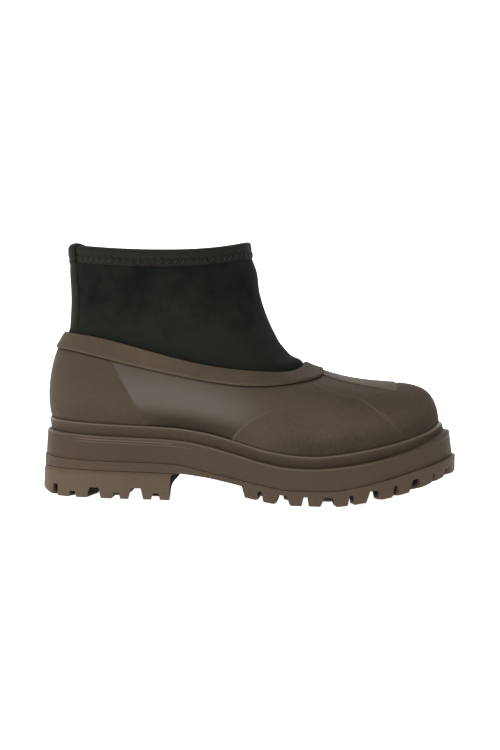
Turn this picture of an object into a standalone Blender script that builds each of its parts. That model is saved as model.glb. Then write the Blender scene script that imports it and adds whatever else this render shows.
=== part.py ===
"""Pull-on winter boot: a moulded rubber shell on a lugged platform sole, with a neoprene shaft.

A right boot, in metres, with +Z up and the toe at +X, so that its outer side faces -Y. It stands on z = 0.
Sizes below are in millimetres: along is measured from the heel end of the outsole, across from the middle
line with the outer side negative, and heights from the floor.
"""

from collections import namedtuple

import bpy
import numpy as np

MM = 0.001
BOOT = "boot"

# Driving dimensions
SHELL_WALL = 2.6
NEOPRENE = 3.6
GAP = 0.3
OVERLAY = 0.9
OVERLAY_GAP = 0.35
BAND_THICK = 1.9
BAND_EASE = 0.5
TUCK = 10.0
BINDING_WIDTH = 11.5
BINDING_THICK = 1.2
TAPE_THICK = 1.1
TAPE_START = 0.35
TAPE_COLUMNS = (-2.5, -2, -1, 0, 1, 2, 2.5)
INSOLE_THICK = 5.0
BREAST_TOP = 90.2
BREAST_FLOOR = 88.0
BREAST_SKEW = 0.035
BREAST_BOW = 5.0
HEEL_GAP = 0.42

# Mesh density
COLUMNS = 52
SHELL_ROWS = 8
BAND_ROWS = 2
SHAFT_ROWS = 5

# One row for each wall section of the shell, from the heel by the outer side and the toe to the inner side.
# The foot stands on the sole, the rim is the top edge, bulge and rise place the handle above the foot, and
# reach and drop place the handle below the rim.
Wall = namedtuple("Wall", "foot_along foot_across rim_along rim_across rim_height bulge rise reach drop")
WALLS = (
    Wall(4.8, 0.0, 13.0, 0.0, 112.0, 4.8, 14.0, 11.0, 17.0),
    Wall(13.8, -22.5, 20.5, -17.0, 111.2, 5.2, 14.0, 10.5, 18.0),
    Wall(42.0, -33.5, 43.0, -27.5, 108.0, 6.0, 15.0, 8.5, 20.0),
    Wall(105.0, -35.5, 100.0, -36.0, 94.7, 12.0, 8.5, 7.0, 14.0),
    Wall(172.0, -47.5, 148.0, -33.0, 88.6, 4.0, 25.0, 16.0, 9.0),
    Wall(228.0, -42.0, 169.0, -23.5, 89.0, 2.5, 29.0, 34.0, 12.0),
    Wall(261.0, -23.5, 177.0, -11.5, 92.6, -1.0, 35.0, 50.0, 19.0),
    Wall(274.0, 1.5, 178.8, 0.0, 95.4, -5.2, 42.3, 55.7, 24.9),
    Wall(264.5, 25.5, 177.0, 11.5, 92.6, -1.0, 35.0, 50.0, 19.0),
    Wall(238.0, 40.5, 169.0, 23.5, 89.0, 2.5, 29.0, 34.0, 12.0),
    Wall(194.0, 47.0, 148.0, 33.0, 88.6, 4.0, 25.0, 16.0, 9.0),
    Wall(118.0, 31.0, 100.0, 36.0, 94.7, 11.0, 15.0, 7.0, 14.0),
    Wall(42.0, 32.5, 43.0, 27.5, 108.0, 6.0, 15.0, 8.5, 20.0),
    Wall(13.8, 22.0, 20.5, 17.0, 111.2, 5.2, 14.0, 10.5, 18.0),
)

# Width of the band round the rim at each wall section.
BAND_WIDTHS = (12.0, 11.8, 13.2, 11.2, 13.4, 15.4, 15.2, 13.4, 15.2, 15.4, 13.4, 11.2, 13.2, 11.8)

# The shaft's collar above each wall section. Lean and lift place the handle above the rim, flare and fall
# the handle below the collar.
Collar = namedtuple("Collar", "along across height lean lift flare fall")
COLLARS = (
    Collar(15.2, 0.0, 172.8, 1.2, 18.0, -1.4, 23.0),
    Collar(20.5, -15.5, 172.6, 1.2, 18.0, -1.0, 23.0),
    Collar(43.0, -31.0, 171.3, -0.5, 20.0, 0.0, 24.0),
    Collar(80.0, -37.0, 171.2, 0.5, 20.0, 1.0, 26.0),
    Collar(109.0, -33.0, 173.2, 6.0, 17.0, 4.0, 36.0),
    Collar(126.5, -21.0, 176.2, 17.0, 18.0, 8.5, 41.0),
    Collar(134.6, -10.5, 178.2, 23.5, 21.0, 10.5, 42.0),
    Collar(137.0, 0.0, 178.8, 26.0, 22.5, 11.5, 42.8),
    Collar(134.6, 10.5, 178.2, 23.5, 21.0, 10.5, 42.0),
    Collar(126.5, 21.0, 176.2, 17.0, 18.0, 8.5, 41.0),
    Collar(109.0, 33.0, 173.2, 6.0, 17.0, 4.0, 36.0),
    Collar(80.0, 37.0, 171.2, 0.5, 20.0, 1.0, 26.0),
    Collar(43.0, 31.0, 171.3, -0.5, 20.0, 0.0, 24.0),
    Collar(20.5, 15.5, 172.6, 1.2, 18.0, -1.0, 23.0),
)

# How far each layer of the sole stands out from the foot of the shell, section by section.
Spread = namedtuple("Spread", "ledge wall band")
SPREADS = (
    Spread(3.6, 4.0, 4.8),
    Spread(3.6, 4.1, 4.9),
    Spread(4.2, 4.8, 5.6),
    Spread(4.0, 4.6, 5.4),
    Spread(5.0, 6.0, 7.0),
    Spread(5.8, 7.2, 8.4),
    Spread(7.4, 9.4, 11.2),
    Spread(8.2, 10.8, 13.0),
    Spread(7.4, 9.4, 11.2),
    Spread(5.8, 7.2, 8.4),
    Spread(5.0, 6.0, 7.0),
    Spread(4.0, 4.6, 5.4),
    Spread(4.2, 4.8, 5.6),
    Spread(3.6, 4.1, 4.9),
)

# Heights of the sole's lines under the foot of the shell: the feather line where the shell meets the lip,
# the ledge, the tread line between midsole and outsole, and the underside of the outsole's tread layer.
Level = namedtuple("Level", "along feather ledge tread base")
LEVELS = (
    Level(4.8, 53.3, 45.3, 27.7, 20.0),
    Level(14.0, 52.4, 43.9, 26.3, 19.6),
    Level(42.0, 51.0, 42.6, 25.3, 19.0),
    Level(75.0, 50.4, 42.0, 25.0, 18.7),
    Level(92.0, 49.7, 41.3, 24.4, 18.4),
    Level(112.0, 47.2, 38.4, 20.6, 16.6),
    Level(135.0, 41.8, 32.9, 16.2, 12.6),
    Level(152.0, 37.2, 28.5, 12.8, 9.0),
    Level(172.0, 34.2, 25.4, 10.0, 6.4),
    Level(184.0, 33.7, 25.2, 10.05, 6.25),
    Level(196.0, 34.5, 26.0, 10.2, 6.2),
    Level(214.0, 37.5, 28.6, 13.2, 8.8),
    Level(234.0, 41.8, 33.3, 18.8, 13.7),
    Level(252.0, 47.0, 39.5, 25.2, 19.7),
    Level(265.0, 51.8, 46.3, 30.2, 24.2),
    Level(274.0, 57.6, 51.9, 34.9, 28.6),
)

# Sections of the sole's layers, one row for each ring: out from the layer's own spread, the share of the
# way from its lower line to its upper line, and a lift from there.
Ring = namedtuple("Ring", "out share lift")
OUTSOLE_RINGS = (Ring(-0.8, 0, 0.0), Ring(0.0, 0, 1.0), Ring(0.0, 1, -0.8), Ring(-0.6, 1, 0.0))
MIDSOLE_RINGS = (
    Ring(-0.8, 0, GAP),
    Ring(0.0, 0, 1.2),
    Ring(0.0, 0.5, 0.0),
    Ring(0.0, 1, -1.2),
    Ring(-1.0, 1, 0.0),
)
INSOLE_RINGS = (Ring(-0.6, 0, 2 * GAP), Ring(0.0, 0, 1.2), Ring(0.0, 1, -0.8), Ring(-0.8, 1, 0.0))
LIP_OUTSIDE = (
    Ring(1.2, 0, GAP),
    Ring(1.2, 0.25, 0.0),
    Ring(1.6, 0.6, 0.0),
    Ring(2.3, 1, -1.5),
    Ring(2.4, 1, -0.6),
    Ring(1.6, 1, 0.0),
)
LIP_INSIDE = (Ring(GAP, 1, 0.0), Ring(GAP, 0, GAP))
LIP_BELOW_FEATHER = 0.4

# Height of the tread's running face above the floor, by the place along the boot.
Rocker = namedtuple("Rocker", "along height")
HEEL_ROCKER = (Rocker(0.0, 4.0), Rocker(6.5, 1.1), Rocker(13.0, 0.0), Rocker(100.0, 0.0))
TOE_ROCKER = (
    Rocker(132.0, 5.8),
    Rocker(147.0, 3.0),
    Rocker(159.0, 0.9),
    Rocker(167.0, 0.0),
    Rocker(200.0, 0.0),
    Rocker(211.0, 1.2),
    Rocker(233.0, 5.4),
    Rocker(252.0, 10.2),
    Rocker(269.0, 16.8),
    Rocker(279.0, 20.8),
    Rocker(287.0, 23.3),
)

# Forefoot tread: pairs of lugs set square to the edge all round, and blocks along the middle.
LUG_PAIRS = 11
LUG_PITCH = 31.4
LUG_FROM = 140.3
LUG_SHARE = 0.66
LUG_DEPTH = 24.0
LUG_DRAFT = 0.16
LUG_INSET = 0.5
SLIT_WIDTH = 4.2
SLIT_DEPTH = 28.0
SLIT_RISE = 0.75
Block = namedtuple("Block", "along across length width")
BLOCKS = (
    Block(152.0, 0.0, 13.0, 30.0),
    Block(174.0, 0.0, 15.0, 36.0),
    Block(197.0, 0.0, 15.0, 38.0),
    Block(220.0, 0.5, 15.0, 34.0),
    Block(243.0, 1.0, 13.0, 26.0),
)

BLOCK_CORNERS = ((-1, -0.5), (-0.4, -1), (0.4, -1), (1, -0.5), (1, 0.5), (0.4, 1), (-0.4, 1), (-1, 0.5))

# Heel tread: channels right across, and slits in the edge between them.
Groove = namedtuple("Groove", "along width height")
HEEL_CHANNELS = (Groove(37.0, 6.4, 7.2), Groove(66.0, 6.4, 7.4))
HEEL_SLITS = (Groove(22.0, 3.8, 4.0), Groove(52.5, 3.8, 4.0), Groove(79.5, 3.8, 4.4))
CHANNEL_DRAFT = 0.26
HEEL_SLIT_DEPTHS = (15.0, 27.0, 27.0)
BACK_SLIT = Groove(8.6, 5.0, 8.0)
BACK_SLIT_DEPTH = 15.0
BACK_SLIT_ACROSS = 27.0
BACK_SLIT_TURN = np.radians(60)
HEEL_FLARE = 0.7
HEEL_POINTS = 30
BREAST_POINTS = 7

# How far cutters run past the solids that they cut.
CUT_PAST = 6.0
FAR = 90.0

# Panel outlines in side view, as places along and heights.
COUNTER_EDGE = ((86.0, 30.0), (72.6, 50.5), (44.2, 95.5))
WING_EDGE = (
    (122.0, 29.0),
    (130.5, 43.0),
    (134.6, 49.4),
    (139.6, 54.4),
    (148.4, 60.0),
    (158.9, 64.7),
    (172.0, 66.9),
    (190.0, 69.0),
    (213.0, 70.6),
)
SEAM = ((176.0, 85.4), (186.7, 80.8), (193.4, 78.3), (206.4, 74.9), (217.0, 72.7))
CAP_EDGE = ((217.0, 72.7), (222.6, 69.8), (232.5, 62.8), (240.2, 55.7), (245.2, 48.5), (250.0, 30.0))
CAP_POINT = (262.0, 88.8)
CAP_SHOULDER = (236.3, 79.0)
PANEL_FLOOR = 30.0
PANEL_TOP = 130.0
SEAM_WIDTH = 2.4
STRIP_START = 160.0
STRIP_EDGE = ((190.5, 16.4), (205.1, 20.8), (225.2, 22.2), (233.5, 21.6))
STRIP_TIP = 243.0

# Shares of the first and last rows of the skin that are left free above the lip and below the band.
ABOVE_LIP = 0.22
BELOW_BAND = 0.12

RUBBER_BROWN = (0.088, 0.066, 0.049)
SOLE_BROWN = (0.092, 0.069, 0.052)
NEOPRENE_DARK = (0.014, 0.016, 0.014)
TAPE_DARK = (0.028, 0.029, 0.025)
FOOTBED_DARK = (0.02, 0.02, 0.02)


def closed_spline(knots, values, at):
    """Smooth closed curve through the rows of values: a periodic cubic spline on knots from 0 to 1."""
    count = len(values)
    steps = np.diff(np.append(knots, 1.0))
    matrix = np.zeros((count, count))
    right = np.zeros(values.shape)
    for row in range(count):
        before, after = (row - 1) % count, (row + 1) % count
        matrix[row, before] += steps[before]
        matrix[row, row] += 2 * (steps[before] + steps[row])
        matrix[row, after] += steps[row]
        slope_after = (values[after] - values[row]) / steps[row]
        slope_before = (values[row] - values[before]) / steps[before]
        right[row] = 6 * (slope_after - slope_before)
    bend = np.linalg.solve(matrix, right)
    at = np.mod(at, 1.0)
    low = np.searchsorted(knots, at, side="right") - 1
    high = (low + 1) % count
    step = steps[low][:, None]
    t = ((at - knots[low])[:, None]) / step
    s = 1 - t
    curve = s * values[low] + t * values[high]
    return curve + step**2 / 6 * ((s**3 - s) * bend[low] + (t**3 - t) * bend[high])


def smooth_through(places, values, at):
    """Curve through a table that keeps its rises and flats: a monotone cubic."""
    places, values = np.asarray(places, float), np.asarray(values, float)
    step = np.diff(places)
    rise = np.diff(values) / step
    slope = np.zeros(len(places))
    slope[0], slope[-1] = rise[0], rise[-1]
    same_way = rise[:-1] * rise[1:] > 0
    both = np.where(same_way, rise[:-1] + rise[1:], 1.0)
    slope[1:-1] = np.where(same_way, 2 * rise[:-1] * rise[1:] / both, 0.0)
    at = np.clip(at, places[0], places[-1])
    low = np.clip(np.searchsorted(places, at, side="right") - 1, 0, len(step) - 1)
    t = (at - places[low]) / step[low]
    start = (1 + 2 * t) * (1 - t) ** 2 * values[low] + t**2 * (3 - 2 * t) * values[low + 1]
    turn = t * (1 - t) ** 2 * slope[low] - t**2 * (1 - t) * slope[low + 1]
    return start + step[low] * turn


def section_knots():
    """Places of the wall sections round the boot, from 0 to 1, spaced by the root of their distance."""
    feet = np.array([(wall.foot_along, wall.foot_across) for wall in WALLS])
    spacing = np.sqrt(np.linalg.norm(np.roll(feet, -1, axis=0) - feet, axis=1))
    return np.append(0.0, np.cumsum(spacing)[:-1]) / spacing.sum()


KNOTS = section_knots()
WALL_TABLE = np.array(WALLS)
COLLAR_TABLE = np.array(COLLARS)
SPREAD_TABLE = np.array(SPREADS)
LEVEL_TABLE = np.array(LEVELS)
HALF_TURN_KNOT = KNOTS[len(WALLS) // 2]


def column_turns(count=COLUMNS):
    """Turns of the mesh columns: the first at the heel, the middle one at the toe."""
    half = count // 2
    outer = np.linspace(0, HALF_TURN_KNOT, half, endpoint=False)
    inner = np.linspace(HALF_TURN_KNOT, 1, half, endpoint=False)
    return np.append(outer, inner)


def outward(table, turns):
    """Unit vectors in plan, away from the boot and square to a closed curve of (along, across) rows."""
    small = 1e-4
    tangent = closed_spline(KNOTS, table, turns + small) - closed_spline(KNOTS, table, turns - small)
    normal = np.stack([tangent[:, 1], -tangent[:, 0], np.zeros(len(turns))], axis=1)
    return normal / np.linalg.norm(normal, axis=1)[:, None]


def level(name, along):
    column = Level._fields.index(name)
    return smooth_through(LEVEL_TABLE[:, 0], LEVEL_TABLE[:, column], along)


def rocker(table, along):
    return smooth_through([row.along for row in table], [row.height for row in table], along)


def bezier(points, share):
    """Cubic curve with four control points, read at each share from 0 to 1."""
    t = share[..., None]
    s = 1 - t
    return s**3 * points[0] + 3 * s**2 * t * points[1] + 3 * s * t**2 * points[2] + t**3 * points[3]


def shell_controls(turns):
    """Control points of the shell's wall at each turn: foot, handle above it, handle below the rim, rim."""
    row = closed_spline(KNOTS, WALL_TABLE, turns)
    wall = Wall(*row.T)
    up = np.array([0.0, 0.0, 1.0])
    foot = np.stack([wall.foot_along, wall.foot_across, level("feather", wall.foot_along)], axis=1)
    rim = np.stack([wall.rim_along, wall.rim_across, wall.rim_height], axis=1)
    foot_out = outward(WALL_TABLE[:, 0:2], turns)
    rim_out = outward(WALL_TABLE[:, 2:4], turns)
    low = foot + foot_out * wall.bulge[:, None] + up * wall.rise[:, None]
    high = rim + rim_out * wall.reach[:, None] - up * wall.drop[:, None]
    return foot, low, high, rim


def shell_face(turns, climbs):
    """Outer face of the shell: climbs 0 at the feather line to 1 at the rim, for each row and column."""
    return bezier(shell_controls(turns), climbs)


def shaft_controls(turns):
    """Control points of the shaft's outer face, from inside the shell's rim up to the collar."""
    row = closed_spline(KNOTS, COLLAR_TABLE, turns)
    collar = Collar(*row.T)
    up = np.array([0.0, 0.0, 1.0])
    rim_out = outward(WALL_TABLE[:, 2:4], turns)
    collar_out = outward(COLLAR_TABLE[:, 0:2], turns)
    top = np.stack([collar.along, collar.across, collar.height], axis=1)
    start = offset_face(shell_face, turns, np.ones((1, len(turns))), -SHELL_WALL - GAP)[0]
    low = start - rim_out * collar.lean[:, None] + up * collar.lift[:, None]
    high = top + collar_out * collar.flare[:, None] - up * collar.fall[:, None]
    return start, low, high, top


def shaft_face(turns, climbs):
    return bezier(shaft_controls(turns), climbs)


def face_normals(face, turns, climbs):
    """Outward unit normals of a face, from small steps round it and up it."""
    small = 1e-4
    around = face(turns + small, climbs) - face(turns - small, climbs)
    up = face(turns, np.minimum(climbs + small, 1)) - face(turns, np.maximum(climbs - small, 0))
    normal = np.cross(around, up)
    return normal / np.linalg.norm(normal, axis=-1)[..., None]


def offset_face(face, turns, climbs, distance):
    return face(turns, climbs) + face_normals(face, turns, climbs) * distance


def climb_below_top(face, turns, distance):
    """Climbs of the points that lie a distance, one or one per column, below the top edge along the wall."""
    samples = np.linspace(0, 1, 81)
    grid = face(turns, np.repeat(samples[:, None], len(turns), axis=1))
    lengths = np.linalg.norm(np.diff(grid, axis=0), axis=2)
    below = np.append(np.cumsum(lengths[::-1], axis=0)[::-1], np.zeros((1, len(turns))), axis=0)
    wanted = np.broadcast_to(distance, len(turns))
    return np.array([np.interp(-wanted[k], -below[:, k], samples) for k in range(len(turns))])


def shell_climbs(turns):
    """Climbs of the shell's rows: evenly up to the band, then through the band to the rim."""
    widths = closed_spline(KNOTS, np.array(BAND_WIDTHS)[:, None], turns)[:, 0]
    band = climb_below_top(shell_face, turns, widths)
    lower = np.linspace(0, 1, SHELL_ROWS + 1)[:, None] * band
    upper = band + np.linspace(0, 1, BAND_ROWS + 1)[1:, None] * (1 - band)
    return np.append(lower, upper, axis=0)


def sole_ring(turns, spread, height):
    """Ring of the sole: a distance out from the foot of the shell, at a height, either one per column."""
    row = closed_spline(KNOTS, WALL_TABLE, turns)
    foot = np.stack([row[:, 0], row[:, 1], np.zeros(len(turns))], axis=1)
    ring = foot + outward(WALL_TABLE[:, 0:2], turns) * np.broadcast_to(spread, len(turns))[:, None]
    ring[:, 2] = height
    return ring


TURNS = column_turns()
SPREAD = Spread(*closed_spline(KNOTS, SPREAD_TABLE, TURNS).T)
FOOT_ALONG = closed_spline(KNOTS, WALL_TABLE, TURNS)[:, 0]
FEATHER, LEDGE, TREAD, BASE = (level(name, FOOT_ALONG) for name in Level._fields[1:])
WIDEST = sole_ring(TURNS, SPREAD.band, 0.0)
ORIGIN = (WIDEST.min(axis=0) + WIDEST.max(axis=0)) / 2


def material(name, colour, roughness):
    made = bpy.data.materials.new(name)
    made.use_nodes = True
    shader = made.node_tree.nodes["Principled BSDF"]
    shader.inputs["Base Color"].default_value = (*colour, 1.0)
    shader.inputs["Roughness"].default_value = roughness
    shader.inputs["Metallic"].default_value = 0.0
    return made


def add_object(name, points, faces, finish):
    """An object from points in millimetres, placed so that the origin is under the middle of the sole."""
    mesh = bpy.data.meshes.new(name)
    mesh.from_pydata(((np.asarray(points) - ORIGIN) * MM).tolist(), [], faces)
    mesh.update()
    mesh.shade_smooth()
    mesh.set_sharp_from_angle(angle=np.radians(35))
    obj = bpy.data.objects.new(name, mesh)
    bpy.context.scene.collection.objects.link(obj)
    obj.parent = bpy.data.objects[BOOT]
    if finish is not None:
        mesh.materials.append(finish)
    return obj


def quad(a, b, c, d):
    """Two triangles, always split the same way, so that faces of neighbouring pieces stay parallel."""
    return [(a, b, c), (a, c, d)]


def ring_solid(name, rising, falling, finish):
    """One closed solid from rings round the boot: up its outer side, then down its inner side."""
    rings = [*rising, *falling]
    count = len(rings[0])
    faces = []
    for low in range(len(rings)):
        high = (low + 1) % len(rings)
        for left in range(count):
            right = (left + 1) % count
            corners = (low * count + left, low * count + right, high * count + right, high * count + left)
            if low < len(rising):
                faces += quad(*corners)
            else:
                faces += quad(corners[1], corners[2], corners[3], corners[0])
    return add_object(name, np.concatenate(rings), faces, finish)


def plate_solid(name, rings, finish):
    """One closed solid from rings stacked upwards, capped by strips from the outer to the inner side."""
    count = len(rings[0])
    faces = []
    for low in range(len(rings) - 1):
        for left in range(count):
            right = (left + 1) % count
            start = low * count
            faces += quad(start + left, start + right, start + count + right, start + count + left)
    top = (len(rings) - 1) * count
    for left in range(count // 2):
        corners = [left, left + 1, (count - left - 1) % count, (count - left) % count]
        corners = [corner for k, corner in enumerate(corners) if corner not in corners[:k]]
        strips = [tuple(corners)] if len(corners) == 3 else quad(*corners)
        faces += [tuple(top + corner for corner in strip) for strip in strips]
        faces += [strip[::-1] for strip in strips]
    return add_object(name, np.concatenate(rings), faces, finish)


def sheet_solid(name, outside, inside, finish):
    """One closed solid between two grids of rows and columns, with walls along its four edges."""
    rows, columns = outside.shape[:2]
    back = rows * columns
    faces = []
    for row in range(rows - 1):
        for column in range(columns - 1):
            a = row * columns + column
            corners = (a, a + 1, a + columns + 1, a + columns)
            front = quad(*corners)
            faces += front
            faces += [tuple(back + corner for corner in reversed(face)) for face in front]
    edge = [(row * columns, (row + 1) * columns) for row in range(rows - 1)]
    edge += [((rows - 1) * columns + k, (rows - 1) * columns + k + 1) for k in range(columns - 1)]
    edge += [((row + 1) * columns - 1, row * columns - 1) for row in range(rows - 1, 0, -1)]
    edge += [(k + 1, k) for k in range(columns - 1)]
    for start, end in edge:
        faces += quad(start, end, back + end, back + start)
    points = np.concatenate([outside.reshape(-1, 3), inside.reshape(-1, 3)])
    return add_object(name, points, faces, finish)


def prism(outline, low, high, upright):
    """Points and faces of a prism over an outline, in plan between heights or in side view between sides."""
    count = len(outline)
    ends = [np.full(count, low), np.full(count, high)]
    first, second = np.asarray(outline, float).T
    layers = [np.stack([first, second, end] if upright else [first, end, second], axis=1) for end in ends]
    faces = [tuple(range(count)), tuple(range(2 * count - 1, count - 1, -1))]
    faces += [(k, count + k, count + (k + 1) % count, (k + 1) % count) for k in range(count)]
    area = np.sum(first * np.roll(second, -1) - second * np.roll(first, -1))
    if (area > 0) == upright:
        faces = [face[::-1] for face in faces]
    return np.concatenate(layers), faces


def joined(shapes):
    """Several shapes of (points, faces) as one list of points and one of faces."""
    points, faces, start = [], [], 0
    for shape_points, shape_faces in shapes:
        points.append(shape_points)
        faces += [tuple(start + corner for corner in face) for face in shape_faces]
        start += len(shape_points)
    return np.concatenate(points), faces


def cut(obj, shapes, operation):
    """Cuts an object with shapes, or joins them to it, by a Boolean with a hidden helper."""
    points, faces = joined(shapes)
    helper = add_object(f"{obj.name}_{operation.lower()}", points, faces, None)
    helper.hide_render = True
    helper.display_type = "WIRE"
    modifier = obj.modifiers.new(operation.title(), "BOOLEAN")
    modifier.operation = operation
    modifier.solver = "EXACT"
    modifier.object = helper


def lug_shape(plan_top, plan_bottom, top, bottom):
    """A lug between two outlines of equal length, with a height for each of their corners."""
    count = len(plan_top)
    points = np.concatenate([np.column_stack([plan_top, top]), np.column_stack([plan_bottom, bottom])])
    faces = [tuple(range(count)), tuple(range(2 * count - 1, count - 1, -1))]
    faces += [(k, count + k, count + (k + 1) % count, (k + 1) % count) for k in range(count)]
    following = np.roll(plan_top, -1, axis=0)
    area = np.sum(plan_top[:, 0] * following[:, 1] - plan_top[:, 1] * following[:, 0])
    return points, faces if area > 0 else [face[::-1] for face in faces]


def lug_lengths():
    """Turns and lengths along the outsole's edge, for the stretch that carries the forefoot lugs."""
    turns = np.linspace(0, 1, 721)
    edge = sole_ring(turns, closed_spline(KNOTS, SPREAD_TABLE, turns)[:, 2] - LUG_INSET, 0.0)
    inside = edge[:, 0] > LUG_FROM
    turns, edge = turns[inside], edge[inside]
    return turns, np.append(0.0, np.cumsum(np.linalg.norm(np.diff(edge[:, :2], axis=0), axis=1))), edge


def edge_lugs():
    """The forefoot's side lugs, and the slits that split each one in two."""
    turns, lengths, edge = lug_lengths()
    lugs, slits = [], []
    for pair in range(LUG_PAIRS):
        places = (pair + np.linspace(0, LUG_SHARE, 3)) * LUG_PITCH
        outer = np.stack([np.interp(places, lengths, edge[:, k]) for k in (0, 1)], axis=1)
        at = np.interp(places, lengths, turns)
        foot = closed_spline(KNOTS, WALL_TABLE, at)[:, 0]
        towards = -outward(WALL_TABLE[:, 0:2], at)[:, :2]
        inner = (outer + towards * LUG_DEPTH)[::-1]
        plan = np.concatenate([outer, inner])
        root_along = np.concatenate([foot, np.minimum(inner[:, 0], foot[::-1] + LUG_DEPTH)])
        root = lug_root(root_along)
        low = rocker(TOE_ROCKER, plan[:, 0])
        middle = plan.mean(axis=0)
        shrunk = middle + (plan - middle) * (1 - LUG_DRAFT)
        lugs.append(lug_shape(plan, shrunk, root, low))
        slits.append(slit_shape(outer[1], towards[1], root[1]))
    return lugs, slits


def slit_plan(mouth, towards, width, depth):
    """Corners of a slit in plan, from past its mouth to its end."""
    side = np.array([-towards[1], towards[0]]) * width / 2
    start, end = mouth - towards * CUT_PAST, mouth + towards * depth
    return np.array([start + side, start - side, end - side, end + side])


def slit_shape(mouth, towards, root):
    """A slit from the edge of the sole right through a lug, rising less than the grooves beside it."""
    plan = slit_plan(mouth, towards, SLIT_WIDTH, SLIT_DEPTH)
    low = rocker(TOE_ROCKER, plan[:, 0])
    end_root = lug_root(plan[2:, 0].mean())
    roots = np.array([root, root, end_root, end_root])
    return lug_shape(plan, plan, low + SLIT_RISE * (roots - low), low - CUT_PAST)


def lug_root(along):
    """Height of a lug's root, in the middle of the tread layer, so that the two join."""
    return (level("base", along) + level("tread", along)) / 2


def middle_blocks():
    """Blocks along the middle of the forefoot, tapered towards the floor."""
    shapes = []
    for block in BLOCKS:
        half = np.array([block.length / 2, block.width / 2])
        plan = np.array([block.along, block.across]) + np.array(BLOCK_CORNERS) * half
        shrunk = np.array([block.along, block.across]) + np.array(BLOCK_CORNERS) * half * (1 - LUG_DRAFT)
        shapes.append(lug_shape(plan, shrunk, lug_root(plan[:, 0]), rocker(TOE_ROCKER, plan[:, 0])))
    return shapes


def layer_rings(rows, low, high, low_spread=0.0, high_spread=0.0):
    """Rings of one layer of the sole, from its section rows and its lower and upper lines."""
    rings = []
    for row in rows:
        spread = low_spread + row.share * (high_spread - low_spread) + row.out
        rings.append(sole_ring(TURNS, spread, low + row.share * (high - low) + row.lift))
    return rings


def build_outsole(finish):
    rings = layer_rings(OUTSOLE_RINGS, BASE, TREAD, SPREAD.band, SPREAD.band)
    outsole = plate_solid("outsole", rings, finish)
    lugs, slits = edge_lugs()
    cut(outsole, lugs + middle_blocks(), "UNION")
    cut(outsole, slits, "DIFFERENCE")


def heel_outline(spread, breast_along):
    """Outline of the heel block: points along the sole's edge behind the breast, then along the breast.

    The breast stands a little askew, further back on the inner side.
    """
    turns = np.linspace(-0.5, 0.5, 401)
    edge = sole_ring(turns, closed_spline(KNOTS, SPREAD_TABLE, turns)[:, 2] + spread, 0.0)
    behind = np.flatnonzero(edge[:, 0] + BREAST_SKEW * edge[:, 1] < breast_along)
    back = edge[behind[np.linspace(0, len(behind) - 1, HEEL_POINTS).astype(int)], :2]
    shares = np.linspace(0, 1, BREAST_POINTS + 2)[1:-1]
    breast = back[-1] + (back[0] - back[-1]) * shares[:, None]
    return back, breast, shares


def build_heel(finish):
    """The heel block, with its breast bowed forwards at the top, and straight and further back at the floor."""
    top_back, top_breast, shares = heel_outline(-HEEL_FLARE, BREAST_TOP)
    low_back, low_breast, _ = heel_outline(0.0, BREAST_FLOOR)
    top_breast[:, 0] += BREAST_BOW * np.sin(np.pi * shares)
    plan_top = np.concatenate([top_back, top_breast])
    plan_low = np.concatenate([low_back, low_breast])
    top = level("base", plan_top[:, 0]) - HEEL_GAP
    low = rocker(HEEL_ROCKER, plan_low[:, 0])
    points, faces = lug_shape(plan_top, plan_low, top, low)
    heel = add_object("heel", points, faces, finish)
    cut(heel, heel_grooves(), "DIFFERENCE")


def heel_grooves():
    """Channels across the heel, slits in from both sides, and one slit at each back corner."""
    shapes = [channel_shape(groove, -FAR, FAR) for groove in HEEL_CHANNELS]
    for groove, depth in zip(HEEL_SLITS, HEEL_SLIT_DEPTHS):
        edge = np.interp(groove.along, *half_width_at_heel())
        for side in (-1, 1):
            inner, outer = side * (edge - depth), side * (edge + CUT_PAST)
            shapes.append(channel_shape(groove, min(inner, outer), max(inner, outer)))
    for side in (-1, 1):
        mouth = np.array([BACK_SLIT.along, side * BACK_SLIT_ACROSS])
        towards = np.array([np.cos(BACK_SLIT_TURN), -side * np.sin(BACK_SLIT_TURN)])
        plan = slit_plan(mouth, towards, BACK_SLIT.width, BACK_SLIT_DEPTH)
        shapes.append(lug_shape(plan, plan, np.full(4, BACK_SLIT.height), np.full(4, -CUT_PAST)))
    return shapes


def half_width_at_heel():
    """Places along the heel and the half width of the outsole there, on its outer side."""
    turns = np.linspace(0.02, 0.3, 60)
    edge = sole_ring(turns, closed_spline(KNOTS, SPREAD_TABLE, turns)[:, 2], 0.0)
    return edge[:, 0], -edge[:, 1]


def channel_shape(groove, left, right):
    """A groove across the tread, wider at the floor than at its root."""
    half_top = groove.width / 2
    half_low = half_top + CHANNEL_DRAFT * (groove.height + CUT_PAST)
    place = groove.along
    outline = [
        (place - half_low, -CUT_PAST),
        (place + half_low, -CUT_PAST),
        (place + half_top, groove.height),
        (place - half_top, groove.height),
    ]
    return prism(outline, left, right, False)


def build_midsole(finish):
    plate_solid("midsole", layer_rings(MIDSOLE_RINGS, TREAD, LEDGE, SPREAD.wall, SPREAD.ledge), finish)


def build_welt(finish):
    """The lip round the foot of the shell: a bead along its top, over a shallow channel above the ledge."""
    lip = FEATHER - LIP_BELOW_FEATHER
    ring_solid("welt", layer_rings(LIP_OUTSIDE, LEDGE, lip), layer_rings(LIP_INSIDE, LEDGE, lip), finish)


def build_insole(finish):
    inset = -SHELL_WALL - 2 * GAP
    plate_solid("insole", layer_rings(INSOLE_RINGS, LEDGE, LEDGE + INSOLE_THICK, inset, inset), finish)


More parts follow.
